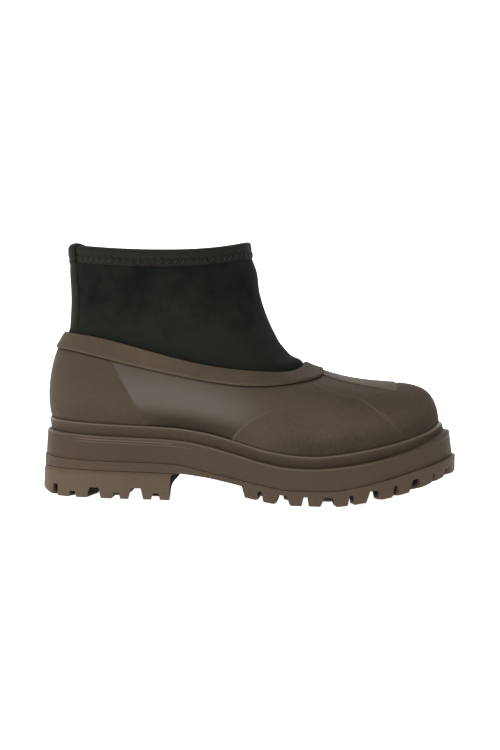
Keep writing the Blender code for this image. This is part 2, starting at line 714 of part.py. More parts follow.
def build_upper(finish):
    """The shell: one wall from inside the welt up to the rim, open above and below."""
    climbs = shell_climbs(TURNS)
    outside = shell_face(TURNS, climbs)
    inside = offset_face(shell_face, TURNS, climbs, -SHELL_WALL)
    seat = LEDGE + GAP
    rising = [sole_ring(TURNS, 0.0, seat), *outside]
    falling = [*inside[::-1], sole_ring(TURNS, -SHELL_WALL, seat)]
    ring_solid("upper", rising, falling, finish)


def overlay_skin(name, finish):
    """A skin just outside the shell, between the lip and the band, from which a panel is cut."""
    climbs = shell_climbs(TURNS)[: SHELL_ROWS + 1]
    inside = offset_face(shell_face, TURNS, climbs, OVERLAY_GAP)
    outside = offset_face(shell_face, TURNS, climbs, OVERLAY_GAP + OVERLAY)
    for skin in (inside, outside):
        skin[0] += ABOVE_LIP * (skin[1] - skin[0])
        skin[-1] += BELOW_BAND * (skin[-2] - skin[-1])
    return ring_solid(name, outside, inside[::-1], finish)


def strip_outline(line, width):
    """Outline of a strip of even width along a line."""
    line = np.asarray(line, float)
    direction = np.gradient(line, axis=0)
    normal = np.stack([-direction[:, 1], direction[:, 0]], axis=1)
    normal /= np.linalg.norm(normal, axis=1)[:, None]
    return np.concatenate([line + normal * width / 2, (line - normal * width / 2)[::-1]])


def build_overlays(finish):
    """Grained panels and raised seams, each cut from the skin by its outline in side view or in plan."""
    sides = {"outer": (-FAR, 0.0), "inner": (0.0, FAR)}
    behind, ahead = -FAR, LEVELS[-1].along + FAR
    counter = [(behind, PANEL_FLOOR), *COUNTER_EDGE, (COUNTER_EDGE[-1][0], PANEL_TOP), (behind, PANEL_TOP)]
    cut(overlay_skin("heel_counter", finish), [prism(counter, -FAR, FAR, False)], "INTERSECT")
    cap = [*CAP_EDGE, (ahead, PANEL_FLOOR), (ahead, PANEL_TOP), CAP_POINT, CAP_SHOULDER]
    cut(overlay_skin("toe_cap", finish), [prism(cap, -FAR, FAR, False)], "INTERSECT")
    front = [(along - SEAM_WIDTH - OVERLAY, height) for along, height in CAP_EDGE[1:]]
    wing = [*WING_EDGE, *front]
    seam = strip_outline(SEAM, SEAM_WIDTH)
    for side, reach in sides.items():
        cut(overlay_skin(f"wing_{side}", finish), [prism(wing, *reach, False)], "INTERSECT")
        cut(overlay_skin(f"vamp_seam_{side}", finish), [prism(seam, *reach, False)], "INTERSECT")
    edge = [(STRIP_START, STRIP_EDGE[0][1]), *STRIP_EDGE]
    strip = [(along, -across) for along, across in edge] + [(STRIP_TIP, 0.0), *reversed(edge)]
    cut(overlay_skin("vamp_strip", finish), [prism(strip, PANEL_FLOOR, PANEL_TOP, True)], "INTERSECT")


def build_band(finish):
    """The thick band round the rim, its lower edge standing clear of the panels below."""
    climbs = shell_climbs(TURNS)[SHELL_ROWS:]
    middle = climbs[BAND_ROWS // 2]
    outer = [(climbs[0], BAND_THICK), (middle, BAND_THICK), (climbs[-1], BAND_THICK - BAND_EASE)]
    inner = [(climbs[-1], 0.0), (middle, 0.0), (climbs[0], 0.0)]
    rings = [offset_face(shell_face, TURNS, climb[None, :], GAP + out)[0] for climb, out in outer + inner]
    ring_solid("top_band", rings[: len(outer)], rings[len(outer) :], finish)


def shaft_rows():
    """Climbs of the shaft's rows, ending below the collar to leave room for the binding's fold."""
    stop = climb_below_top(shaft_face, TURNS, BINDING_THICK + GAP)
    return np.linspace(0, 1, SHAFT_ROWS + 1)[:, None] * stop


def build_shaft(finish):
    """The neoprene wall, from its tuck behind the shell's rim up to the collar."""
    climbs = shaft_rows()
    tuck = climb_below_top(shell_face, TURNS, TUCK)
    behind = -SHELL_WALL - GAP
    outside = [offset_face(shell_face, TURNS, tuck[None, :], behind)[0], *shaft_face(TURNS, climbs)]
    inside = [
        offset_face(shell_face, TURNS, tuck[None, :], behind - NEOPRENE)[0],
        *offset_face(shaft_face, TURNS, climbs, -NEOPRENE),
    ]
    ring_solid("shaft", outside, inside[::-1], finish)


def build_binding(finish):
    """The collar's binding: a tape folded over the shaft's edge, with a leg on each side of the wall."""
    stop = shaft_rows()[-1]
    low = climb_below_top(shaft_face, TURNS, BINDING_WIDTH)
    near, far_side = GAP, -NEOPRENE - GAP
    section = [
        (low, near + BINDING_THICK),
        (stop, near + BINDING_THICK),
        (stop, far_side - BINDING_THICK),
        (low, far_side - BINDING_THICK),
        (low, far_side),
        (stop, far_side),
        (stop, near),
        (low, near),
    ]
    rings = [offset_face(shaft_face, TURNS, climb[None, :], out)[0] for climb, out in section]
    up = np.array([0.0, 0.0, 1.0])
    angles = np.radians((45, 90, 135))
    half = (rings[1] - rings[2]) / 2
    fold = [rings[2] + half * (1 + np.cos(a)) + up * (BINDING_THICK + GAP) * np.sin(a) for a in angles]
    roof = [ring + up * GAP for ring in (rings[5], rings[6])]
    inner_leg = [fold[2], rings[2], rings[3], rings[4], roof[0]]
    ring_solid("collar_binding", [rings[0], rings[1], *fold[:2]], [*inner_leg, roof[1], rings[7]], finish)


def build_heel_tape(finish):
    """The tape over the back seam, from above the band to the collar, stepping out over the binding."""
    turns = np.interp(TAPE_COLUMNS, np.arange(-3, 4), np.append(TURNS[-3:] - 1, TURNS[:4]))
    stop = climb_below_top(shaft_face, turns, BINDING_THICK + GAP)
    over = GAP + BINDING_THICK + GAP
    low = climb_below_top(shaft_face, turns, BINDING_WIDTH)
    step = climb_below_top(shaft_face, turns, BINDING_WIDTH + TAPE_THICK)
    foot = climb_below_top(shaft_face, turns, BINDING_WIDTH + 4 * TAPE_THICK)
    shares = np.linspace(0, 1, SHAFT_ROWS + 1)[:, None] * stop
    start = TAPE_START * shares[1]
    rows = [(start, GAP), *((row, GAP) for row in shares[1:-1] if (row < foot).all())]
    rows += [(foot, GAP), (step, over), (low, over), (stop, over)]
    inside = np.array([offset_face(shaft_face, turns, climb[None, :], out)[0] for climb, out in rows])
    rows = [(climb, out + TAPE_THICK) for climb, out in rows]
    outside = np.array([offset_face(shaft_face, turns, climb[None, :], out)[0] for climb, out in rows])
    sheet_solid("heel_tape", outside, inside, finish)


def main():
    for obj in list(bpy.data.objects):
        bpy.data.objects.remove(obj)
    bpy.context.scene.collection.objects.link(bpy.data.objects.new(BOOT, None))
    shell_rubber = material("shell_rubber", RUBBER_BROWN, 0.5)
    sole_rubber = material("sole_rubber", SOLE_BROWN, 0.6)
    neoprene = material("neoprene", NEOPRENE_DARK, 0.9)
    tape = material("tape", TAPE_DARK, 0.85)
    footbed = material("footbed", FOOTBED_DARK, 0.9)
    build_outsole(sole_rubber)
    build_heel(sole_rubber)
    build_midsole(sole_rubber)
    build_welt(sole_rubber)
    build_insole(footbed)
    build_upper(shell_rubber)
    build_overlays(shell_rubber)
    build_band(shell_rubber)
    build_shaft(neoprene)
    build_binding(tape)
    build_heel_tape(tape)


main()
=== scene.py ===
"""Looks of a pull-on winter boot: a moulded rubber shell on a lugged platform sole, with a neoprene shaft.

The boot is a right one, in metres, with +Z up and the toe at +X, so that its outer side faces -Y. The tables
below are in millimetres: along is measured from the heel end of the outsole, across from the middle line with
the outer side negative, and heights from the floor. Turns run round the boot from 0 at the heel by the outer
side and the toe back to 1, and climbs run up a wall from 0 at its foot to 1 at its top edge.
"""

from collections import namedtuple

import bmesh
import bpy
import numpy as np
from bpy.props import FloatProperty, FloatVectorProperty, IntProperty, PointerProperty
from mathutils import Matrix, Vector


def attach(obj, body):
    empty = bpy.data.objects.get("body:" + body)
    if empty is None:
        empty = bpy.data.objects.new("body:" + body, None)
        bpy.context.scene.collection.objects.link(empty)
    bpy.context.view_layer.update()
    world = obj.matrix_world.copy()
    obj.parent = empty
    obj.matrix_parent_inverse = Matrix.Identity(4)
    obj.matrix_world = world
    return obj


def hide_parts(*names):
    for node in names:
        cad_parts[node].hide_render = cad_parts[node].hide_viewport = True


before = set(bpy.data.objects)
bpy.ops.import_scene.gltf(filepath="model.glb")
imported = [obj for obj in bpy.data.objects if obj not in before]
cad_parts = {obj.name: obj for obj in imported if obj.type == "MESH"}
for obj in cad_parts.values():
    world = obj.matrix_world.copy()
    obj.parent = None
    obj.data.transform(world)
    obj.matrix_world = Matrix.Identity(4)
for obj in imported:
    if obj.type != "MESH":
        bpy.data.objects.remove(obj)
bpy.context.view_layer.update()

bl_info = {
    "name": "Winter boot",
    "version": (1, 0, 0),
    "blender": (4, 5, 0),
    "location": "3D View > Sidebar > Winter boot",
    "description": "Builds the shell, sole, shaft, trims and studio of a pull-on winter boot",
    "category": "Add Mesh",
}

MM = 0.001
PATTERN = "pattern"
WELD = 0.0005
SMALL_STEP = 1e-4

# The most that a mark says of a distance, the room between the shell's wall and the shaft, and how far the
# shaft's face lies inside the shell's face at the rim.
FAR = 50.0
SHAFT_GAP = 0.3
SHAFT_INSET = 2.9

# One row for each wall section of the shell, from the heel by the outer side and the toe to the inner side.
# The foot stands on the sole, the rim is the top edge, bulge and rise place the handle above the foot, and
# reach and drop place the handle below the rim.
Wall = namedtuple("Wall", "foot_along foot_across rim_along rim_across rim_height bulge rise reach drop")
WALLS = (
    Wall(4.8, 0.0, 13.0, 0.0, 112.0, 4.8, 14.0, 11.0, 17.0),
    Wall(13.8, -22.5, 20.5, -17.0, 111.2, 5.2, 14.0, 10.5, 18.0),
    Wall(42.0, -33.5, 43.0, -27.5, 108.0, 6.0, 15.0, 8.5, 20.0),
    Wall(105.0, -35.5, 100.0, -36.0, 94.7, 12.0, 8.5, 7.0, 14.0),
    Wall(172.0, -47.5, 148.0, -33.0, 88.6, 4.0, 25.0, 16.0, 9.0),
    Wall(228.0, -42.0, 169.0, -23.5, 89.0, 2.5, 29.0, 34.0, 12.0),
    Wall(261.0, -23.5, 177.0, -11.5, 92.6, -1.0, 35.0, 50.0, 19.0),
    Wall(274.0, 1.5, 178.8, 0.0, 95.4, -5.2, 42.3, 55.7, 24.9),
    Wall(264.5, 25.5, 177.0, 11.5, 92.6, -1.0, 35.0, 50.0, 19.0),
    Wall(238.0, 40.5, 169.0, 23.5, 89.0, 2.5, 29.0, 34.0, 12.0),
    Wall(194.0, 47.0, 148.0, 33.0, 88.6, 4.0, 25.0, 16.0, 9.0),
    Wall(118.0, 31.0, 100.0, 36.0, 94.7, 11.0, 15.0, 7.0, 14.0),
    Wall(42.0, 32.5, 43.0, 27.5, 108.0, 6.0, 15.0, 8.5, 20.0),
    Wall(13.8, 22.0, 20.5, 17.0, 111.2, 5.2, 14.0, 10.5, 18.0),
)


def inner_side(outer):
    """Rows of the outer side, which run from the heel to the toe, in the order of the way back."""
    return outer[-2:0:-1]


# The shaft's collar above each wall section, alike on both sides. Lean and lift place the handle above the
# rim, flare and fall the handle below the collar.
Collar = namedtuple("Collar", "along across height lean lift flare fall")
OUTER_COLLARS = (
    Collar(15.2, 0.0, 172.8, 1.2, 18.0, -1.4, 23.0),
    Collar(20.5, -15.5, 172.6, 1.2, 18.0, -1.0, 23.0),
    Collar(43.0, -31.0, 171.3, -0.5, 20.0, 0.0, 24.0),
    Collar(80.0, -37.0, 171.2, 0.5, 20.0, 1.0, 26.0),
    Collar(109.0, -33.0, 173.2, 6.0, 17.0, 4.0, 36.0),
    Collar(126.5, -21.0, 176.2, 17.0, 18.0, 8.5, 41.0),
    Collar(134.6, -10.5, 178.2, 23.5, 21.0, 10.5, 42.0),
    Collar(137.0, 0.0, 178.8, 26.0, 22.5, 11.5, 42.8),
)
COLLARS = OUTER_COLLARS + tuple(row._replace(across=-row.across) for row in inner_side(OUTER_COLLARS))

# How far each layer of the sole stands out from the foot of the shell, section by section.
Spread = namedtuple("Spread", "ledge wall band")
OUTER_SPREADS = (
    Spread(3.6, 4.0, 4.8),
    Spread(3.6, 4.1, 4.9),
    Spread(4.2, 4.8, 5.6),
    Spread(4.0, 4.6, 5.4),
    Spread(5.0, 6.0, 7.0),
    Spread(5.8, 7.2, 8.4),
    Spread(7.4, 9.4, 11.2),
    Spread(8.2, 10.8, 13.0),
)
SPREADS = OUTER_SPREADS + inner_side(OUTER_SPREADS)

# Heights of the sole's lines under the foot of the shell: the feather line where the shell meets the lip,
# the ledge, the tread line between midsole and outsole, and the underside of the outsole's tread layer.
Level = namedtuple("Level", "along feather ledge tread base")
LEVELS = (
    Level(4.8, 53.3, 45.3, 27.7, 20.0),
    Level(14.0, 52.4, 43.9, 26.3, 19.6),
    Level(42.0, 51.0, 42.6, 25.3, 19.0),
    Level(75.0, 50.4, 42.0, 25.0, 18.7),
    Level(92.0, 49.7, 41.3, 24.4, 18.4),
    Level(112.0, 47.2, 38.4, 20.6, 16.6),
    Level(135.0, 41.8, 32.9, 16.2, 12.6),
    Level(152.0, 37.2, 28.5, 12.8, 9.0),
    Level(172.0, 34.2, 25.4, 10.0, 6.4),
    Level(184.0, 33.7, 25.2, 10.05, 6.25),
    Level(196.0, 34.5, 26.0, 10.2, 6.2),
    Level(214.0, 37.5, 28.6, 13.2, 8.8),
    Level(234.0, 41.8, 33.3, 18.8, 13.7),
    Level(252.0, 47.0, 39.5, 25.2, 19.7),
    Level(265.0, 51.8, 46.3, 30.2, 24.2),
    Level(274.0, 57.6, 51.9, 34.9, 28.6),
)

# Sections of the sole's layers: out from the layer's own spread, the share of the way from its lower line to
# its upper line, and a lift from there.
Ring = namedtuple("Ring", "out share lift")
LIP_SECTION = (
    Ring(1.2, 0, 0.05),
    Ring(1.25, 0, 0.5),
    Ring(1.35, 0.2, 0.0),
    Ring(1.6, 0.5, 0.0),
    Ring(2.15, 1, -2.0),
    Ring(2.45, 1, -1.2),
    Ring(2.5, 1, -0.7),
    Ring(2.3, 1, -0.2),
    Ring(1.7, 1, 0.05),
    Ring(0.8, 1, 0.05),
    Ring(0.1, 1, -0.2),
    Ring(0.0, 1, -0.8),
    Ring(0.0, 0, 1.0),
    Ring(0.3, 0, 0.1),
)
MIDSOLE_SECTION = (
    Ring(-1.1, 0, 0.02),
    Ring(-0.25, 0, 0.06),
    Ring(-0.04, 0, 0.25),
    Ring(0.0, 0, 0.7),
    Ring(0.0, 1, -1.5),
    Ring(-0.08, 1, -0.8),
    Ring(-0.4, 1, -0.25),
    Ring(-1.0, 1, 0.0),
    Ring(-2.4, 1, 0.05),
)
FOOTBED_SECTION = (
    Ring(-1.0, 0, 0.6),
    Ring(-0.2, 0, 0.9),
    Ring(0.0, 0.5, 0.0),
    Ring(-0.2, 1, -0.4),
    Ring(-1.0, 1, 0.0),
)

# Fine ribs of the midsole: the depth below the ledge, the half width, the height as a share of the rib size,
# how pale its painted highlight is, and where along the boot it comes in and dies away.
Rib = namedtuple("Rib", "depth spread rise pale comes goes")
MIDSOLE_RIBS = (
    Rib(2.7, 0.32, 1.0, 1.5, (20.0, 34.0), (96.0, 84.0)),
    Rib(4.4, 0.32, 0.7, 0.7, (20.0, 34.0), (108.0, 92.0)),
    Rib(3.0, 0.3, 0.6, 0.48, (268.0, 278.0), (300.0, 290.0)),
)

# Height of the tread's running face above the floor, by the place along the boot.
Rocker = namedtuple("Rocker", "along height")
HEEL_ROCKER = (Rocker(0.0, 4.0), Rocker(6.5, 1.1), Rocker(13.0, 0.0), Rocker(100.0, 0.0))
TOE_ROCKER = (
    Rocker(132.0, 5.8),
    Rocker(147.0, 3.0),
    Rocker(159.0, 0.9),
    Rocker(167.0, 0.0),
    Rocker(200.0, 0.0),
    Rocker(211.0, 1.2),
    Rocker(233.0, 5.4),
    Rocker(252.0, 10.2),
    Rocker(269.0, 16.8),
    Rocker(279.0, 20.8),
    Rocker(287.0, 23.3),
)

# Forefoot tread: pairs of lugs set square to the edge all round, and blocks along the middle.
LUG_PAIRS = 11
LUG_PITCH = 31.4
LUG_FROM = 140.3
LUG_LENGTH = 20.6
LUG_TAPER = 2.6
LUG_DEPTH = 23.0
SLIT_AT_FLOOR = 2.4
SLIT_AT_ROOT = 1.4
SLIT_SHARE = 0.97
Block = namedtuple("Block", "along across length width")
BLOCKS = (
    Block(152.0, 0.0, 13.0, 30.0),
    Block(174.0, 0.0, 15.0, 36.0),
    Block(197.0, 0.0, 15.0, 38.0),
    Block(220.0, 0.5, 15.0, 34.0),
    Block(243.0, 1.0, 13.0, 26.0),
)
BLOCK_TAPER = 1.2
BLOCK_CORNER = 1.5

# Heel tread: channels right across, and slits in the edge between them. Width is at the root of the groove,
# and slant is how far it moves forwards on the way in from the edge, by the distance in.
Groove = namedtuple("Groove", "along width height depth slant")
ACROSS_ALL = 90.0
HEEL_GROOVES = (
    Groove(37.0, 6.4, 7.2, ACROSS_ALL, 0.15),
    Groove(66.0, 6.4, 7.4, ACROSS_ALL, -0.04),
    Groove(22.0, 3.8, 4.0, 15.0, 0.25),
    Groove(52.5, 3.8, 4.0, 27.0, 0.03),
    Groove(79.5, 3.8, 4.4, 27.0, -0.04),
)
GROOVE_DRAFT = 0.26

# The slit in each back corner of the heel: where it opens, and the turn of its way in.
BACK_SLIT = Groove(8.6, 5.0, 8.0, 15.0, 0.0)
BACK_SLIT_ACROSS = 27.0
BACK_SLIT_TURN = np.radians(60)

# The breast is the heel's front face: where it stands, and how far it leans, skews and bows. The flare is how
# far the heel lies inside the outsole's edge at its top, and outside it at its foot.
HEEL_BREAST = 91.4
BREAST_LEAN = 2.2
BREAST_SKEW = 1.3
BREAST_BOW = 5.2
HEEL_FLARE = 0.4

# Panel outlines in side view, as places along and heights. The rib beside the vamp runs down into the cap's
# side edge.
Mark = namedtuple("Mark", "along height")
COUNTER_EDGE = (Mark(72.6, 50.5), Mark(44.2, 95.5))
WING_EDGE = (
    Mark(122.0, 29.0),
    Mark(130.5, 43.0),
    Mark(134.6, 49.4),
    Mark(139.6, 54.4),
    Mark(148.4, 60.0),
    Mark(158.9, 64.7),
    Mark(172.0, 66.9),
    Mark(190.0, 69.0),
    Mark(213.0, 70.6),
    Mark(300.0, 72.0),
)
CAP_SIDE = (
    Mark(250.0, 30.0),
    Mark(245.2, 48.5),
    Mark(242.9, 52.3),
    Mark(240.2, 55.7),
    Mark(236.7, 59.6),
    Mark(232.5, 62.8),
    Mark(227.6, 66.4),
    Mark(222.6, 69.8),
    Mark(217.0, 72.7),
)
CAP_EDGE = CAP_SIDE + (
    Mark(222.7, 74.2),
    Mark(229.9, 76.6),
    Mark(236.3, 79.0),
    Mark(244.8, 82.7),
    Mark(262.0, 88.8),
)
RIB_LINE = (
    Mark(176.0, 85.4),
    Mark(180.3, 83.7),
    Mark(186.7, 80.8),
    Mark(193.4, 78.3),
    Mark(206.4, 74.9),
) + CAP_SIDE[::-1]

# The strip down the vamp, in plan: where it starts and ends, how soft its corners are, and half its width.
STRIP_START = 165.0
STRIP_TIP = 243.4
STRIP_CORNER = 1.6
Half = namedtuple("Half", "along width")
STRIP_HALVES = (
    Half(150.0, 8.0),
    Half(176.0, 12.5),
    Half(190.5, 16.4),
    Half(198.0, 18.6),
    Half(205.1, 20.8),
    Half(213.1, 21.7),
    Half(225.2, 22.2),
    Half(236.3, 21.6),
    Half(290.0, 14.0),
)

# Sections of the trims, by the distance below the edge that they go round and the distance out from its wall.
Trim = namedtuple("Trim", "below out")
BAND_SECTION = (
    Trim(0.6, -2.5),
    Trim(0.1, -1.6),
    Trim(0.0, 0.2),
    Trim(0.2, 1.1),
    Trim(0.9, 1.8),
    Trim(2.5, 2.0),
    Trim(6.0, 2.0),
    Trim(9.5, 2.2),
    Trim(11.0, 2.45),
    Trim(12.0, 2.35),
    Trim(12.6, 1.8),
    Trim(12.7, 1.1),
    Trim(12.3, 0.45),
    Trim(11.4, -0.2),
    Trim(9.0, -1.2),
)
BAND_WIDTH = max(trim.below for trim in BAND_SECTION)

# How much wider or narrower the band is than its section, at each wall section.
OUTER_STRETCH = (1.0, 0.98, 1.1, 0.93, 1.12, 1.3, 1.28, 1.12)
BAND_STRETCH = OUTER_STRETCH + inner_side(OUTER_STRETCH)

# The binding's two legs, and the roll over the collar between them: how far below the collar it starts, and
# how far out and in from the shaft's face it goes.
BINDING_OUTSIDE = (
    Trim(12.0, -0.6),
    Trim(12.1, 0.3),
    Trim(11.9, 0.95),
    Trim(11.3, 1.25),
    Trim(9.0, 1.4),
    Trim(7.6, 1.4),
    Trim(6.8, 1.5),
    Trim(6.0, 1.7),
    Trim(4.6, 1.9),
    Trim(3.2, 1.97),
)
BINDING_INSIDE = (
    Trim(3.2, -5.3),
    Trim(5.0, -5.1),
    Trim(11.0, -4.8),
    Trim(11.9, -4.4),
    Trim(12.1, -3.8),
    Trim(12.0, -3.0),
)
ROLL_BELOW = 2.5
ROLL_OUT = 2.0
ROLL_IN = -5.2

# Soft troughs and ridges of the shaft, in side view on both sides: from one mark to another, with the height
# of the ridge, negative for a trough, and its half width.
Fold = namedtuple("Fold", "start end rise spread")
FOLDS = (
    Fold(Mark(196.0, 97.0), Mark(156.0, 93.0), 3.1, 4.4),
    Fold(Mark(166.0, 111.0), Mark(136.0, 100.0), -0.7, 4.0),
    Fold(Mark(150.0, 123.0), Mark(122.0, 108.0), 0.5, 5.0),
    Fold(Mark(160.0, 157.0), Mark(122.0, 157.0), 1.7, 9.0),
    Fold(Mark(0.0, 113.0), Mark(32.0, 110.5), 1.7, 5.0),
    Fold(Mark(0.0, 158.0), Mark(32.0, 157.0), 1.5, 12.0),
    Fold(Mark(30.0, 124.0), Mark(62.0, 112.0), -0.6, 4.0),
    Fold(Mark(60.0, 150.0), Mark(108.0, 132.0), 0.35, 9.0),
    Fold(Mark(52.0, 135.0), Mark(96.0, 120.0), -0.35, 9.0),
)


class ClosedTable:
    """Columns of a section table as smooth closed curves of the turn round the boot.

    Each column is a periodic cubic spline through the rows. The rows' turns are spaced by the square root of
    the distance between the feet of neighbouring wall sections.
    """

    def __init__(self, rows):
        self.values = np.array(rows, float)
        count = len(rows)
        self.steps = np.diff(np.append(KNOTS, 1.0))
        before, after = np.roll(self.steps, 1), self.steps
        rows_at = np.arange(count)
        matrix = np.zeros((count, count))
        matrix[rows_at, rows_at - 1] = before
        matrix[rows_at, rows_at] = 2 * (before + after)
        matrix[rows_at, (rows_at + 1) % count] = after
        rise = (np.roll(self.values, -1, axis=0) - self.values) / after[:, None]
        self.bend = np.linalg.solve(matrix, 6 * (rise - np.roll(rise, 1, axis=0)))

    def at(self, turns):
        """Values at each turn, one row of columns for each."""
        turns = np.mod(turns, 1.0)
        low = np.searchsorted(KNOTS, turns, side="right") - 1
        high = (low + 1) % len(self.values)
        step = self.steps[low][:, None]
        t = (turns - KNOTS[low])[:, None] / step
        s = 1 - t
        straight = s * self.values[low] + t * self.values[high]
        return straight + step**2 / 6 * ((s**3 - s) * self.bend[low] + (t**3 - t) * self.bend[high])

    def outward(self, turns, first):
        """Unit vectors in plan, square to the closed curve of the along and across columns from first on."""
        tangent = (self.at(turns + SMALL_STEP) - self.at(turns - SMALL_STEP))[:, first : first + 2]
        normal = np.stack([tangent[:, 1], -tangent[:, 0], np.zeros(len(turns))], axis=1)
        return normal / np.linalg.norm(normal, axis=1)[:, None]


def section_knots():
    """Turns of the wall sections, from 0 to 1, spaced by the root of the distance between their feet."""
    feet = np.array([(wall.foot_along, wall.foot_across) for wall in WALLS])
    spacing = np.sqrt(np.linalg.norm(np.roll(feet, -1, axis=0) - feet, axis=1))
    return np.append(0.0, np.cumsum(spacing)[:-1]) / spacing.sum()


KNOTS = section_knots()
HALF_TURN = KNOTS[len(WALLS) // 2]
WALL_TABLE = ClosedTable(WALLS)
COLLAR_TABLE = ClosedTable(COLLARS)
SPREAD_TABLE = ClosedTable(SPREADS)
STRETCH_TABLE = ClosedTable([(stretch,) for stretch in BAND_STRETCH])
UP = np.array([0.0, 0.0, 1.0])


def smooth_through(rows, at):
    """Curve through (place, value) rows that keeps their rises and flats: a monotone cubic."""
    places, values = np.array(rows, float).T
    step = np.diff(places)
    rise = np.diff(values) / step
    slope = np.zeros(len(places))
    slope[0], slope[-1] = rise[0], rise[-1]
    same_way = rise[:-1] * rise[1:] > 0
    both = np.where(same_way, rise[:-1] + rise[1:], 1.0)
    slope[1:-1] = np.where(same_way, 2 * rise[:-1] * rise[1:] / both, 0.0)
    at = np.clip(at, places[0], places[-1])
    low = np.clip(np.searchsorted(places, at, side="right") - 1, 0, len(step) - 1)
    t = (at - places[low]) / step[low]
    ends = (1 + 2 * t) * (1 - t) ** 2 * values[low] + t**2 * (3 - 2 * t) * values[low + 1]
    bow = t * (1 - t) ** 2 * slope[low] - t**2 * (1 - t) * slope[low + 1]
    return ends + step[low] * bow


def level(name, along):
    """Height of one of the sole's lines at a place along the foot of the shell."""
    column = Level._fields.index(name)
    return smooth_through([(row.along, row[column]) for row in LEVELS], along)


def ease(value, low, high):
    """Smooth step: 0 below low, 1 above high, and 3t^2 - 2t^3 between them."""
    t = np.clip((value - low) / (high - low), 0, 1)
    return t * t * (3 - 2 * t)


def hump(value, spread):
    """Bell curve, 1 at zero: e to the minus (value / spread) squared."""
    return np.exp(-((value / spread) ** 2))


def rounded(rows, each):
    """Section made smooth: a Catmull-Rom cubic through its rows, with each span cut into that many steps."""
    rows = np.array(rows, float)
    padded = np.concatenate([2 * rows[:1] - rows[1:2], rows, 2 * rows[-1:] - rows[-2:-1]])
    t = np.tile(np.arange(each) / each, len(rows) - 1)[:, None]
    span = np.repeat(np.arange(len(rows) - 1), each)
    a, b, c, d = (padded[span + k] for k in range(4))
    curve = b + 0.5 * t * (c - a + t * (2 * a - 5 * b + 4 * c - d + t * (3 * (b - c) + d - a)))
    return np.concatenate([curve, rows[-1:]])


def bezier(points, share):
    """Cubic curve with four control points, read at each share from 0 to 1."""
    t = share[..., None]
    s = 1 - t
    return s**3 * points[0] + 3 * s**2 * t * points[1] + 3 * s * t**2 * points[2] + t**3 * points[3]


def lengths_along(points):
    """Lengths along a line of points, from 0 at its first."""
    return np.append(0.0, np.cumsum(np.linalg.norm(np.diff(points, axis=0), axis=1)))


def even_turns(count):
    """Turns of columns that stand evenly along the foot of the shell."""
    samples = np.linspace(0, 1, 4001)
    lengths = lengths_along(WALL_TABLE.at(samples)[:, :2])
    return np.interp(np.arange(count) / count * lengths[-1], lengths, samples)


def shell_face(turns, climbs):
    """Outer face of the shell: at each turn a cubic from the foot, by two handles, to the rim."""
    wall = Wall(*WALL_TABLE.at(turns).T)
    foot = np.stack([wall.foot_along, wall.foot_across, level("feather", wall.foot_along)], axis=1)
    rim = np.stack([wall.rim_along, wall.rim_across, wall.rim_height], axis=1)
    low = foot + WALL_TABLE.outward(turns, 0) * wall.bulge[:, None] + UP * wall.rise[:, None]
    high = rim + WALL_TABLE.outward(turns, 2) * wall.reach[:, None] - UP * wall.drop[:, None]
    return bezier((foot, low, high, rim), climbs)


def shaft_face(turns, climbs):
    """Outer face of the shaft: at each turn a cubic from inside the rim, by two handles, to the collar."""
    collar = Collar(*COLLAR_TABLE.at(turns).T)
    top = np.stack([collar.along, collar.across, collar.height], axis=1)
    start = offset_face(shell_face, turns, np.ones((1, len(turns))), -SHAFT_INSET)[0]
    low = start - WALL_TABLE.outward(turns, 2) * collar.lean[:, None] + UP * collar.lift[:, None]
    high = top + COLLAR_TABLE.outward(turns, 0) * collar.flare[:, None] - UP * collar.fall[:, None]
    return bezier((start, low, high, top), climbs)


def offset_face(face, turns, climbs, distance):
    """A face moved along its own outward normals, which are the cross product of small steps round and up."""
    around = face(turns + SMALL_STEP, climbs) - face(turns - SMALL_STEP, climbs)
    higher, lower = np.minimum(climbs + SMALL_STEP, 1), np.maximum(climbs - SMALL_STEP, 0)
    up = face(turns, higher) - face(turns, lower)
    normal = np.cross(around, up)
    normal /= np.linalg.norm(normal, axis=-1)[..., None]
    return face(turns, climbs) + normal * distance


def climbs_below_top(face, turns, distances):
    """Climbs of the points that lie given distances below the top edge, measured along the wall."""
    samples = np.linspace(0, 1, 161)
    grid = face(turns, np.repeat(samples[:, None], len(turns), axis=1))
    lengths = np.linalg.norm(np.diff(grid, axis=0), axis=2)
    below = np.append(np.cumsum(lengths[::-1], axis=0)[::-1], np.zeros((1, len(turns))), axis=0)
    wanted = np.asarray(distances, float)
    wanted = np.broadcast_to(wanted.reshape(len(wanted), -1), (len(wanted), len(turns)))
    low = np.clip((below[None] > wanted[:, None]).sum(axis=1) - 1, 0, len(samples) - 2)
    upper = np.take_along_axis(below, low, axis=0)
    lower = np.take_along_axis(below, low + 1, axis=0)
    share = np.clip((upper - wanted) / (upper - lower), 0, 1)
    return samples[low] + share * (samples[1] - samples[0])


def trim_rows(face, turns, section, stretch=1.0):
    """Rows of a trim: each section point's distance below the wall's top edge, moved out by its distance out.

    The distances below the edge are multiplied by the stretch at each turn.
    """
    below, out = np.array(section, float).T
    climbs = climbs_below_top(face, turns, np.maximum(below, 0)[:, None] * stretch)
    return offset_face(face, turns, climbs, out[:, None, None])


def sole_ring(turns, spread, height):
    """Rows round the sole: out from the foot of the shell by a spread, at a height, at each turn."""
    foot = WALL_TABLE.at(turns)[:, :2]
    out = WALL_TABLE.outward(turns, 0)[:, :2]
    spread = np.broadcast_to(spread, np.broadcast_shapes(np.shape(spread), np.shape(height)))
    plan = foot + out * spread[..., None]
    return np.concatenate([plan, np.broadcast_to(height, spread.shape)[..., None]], axis=-1)


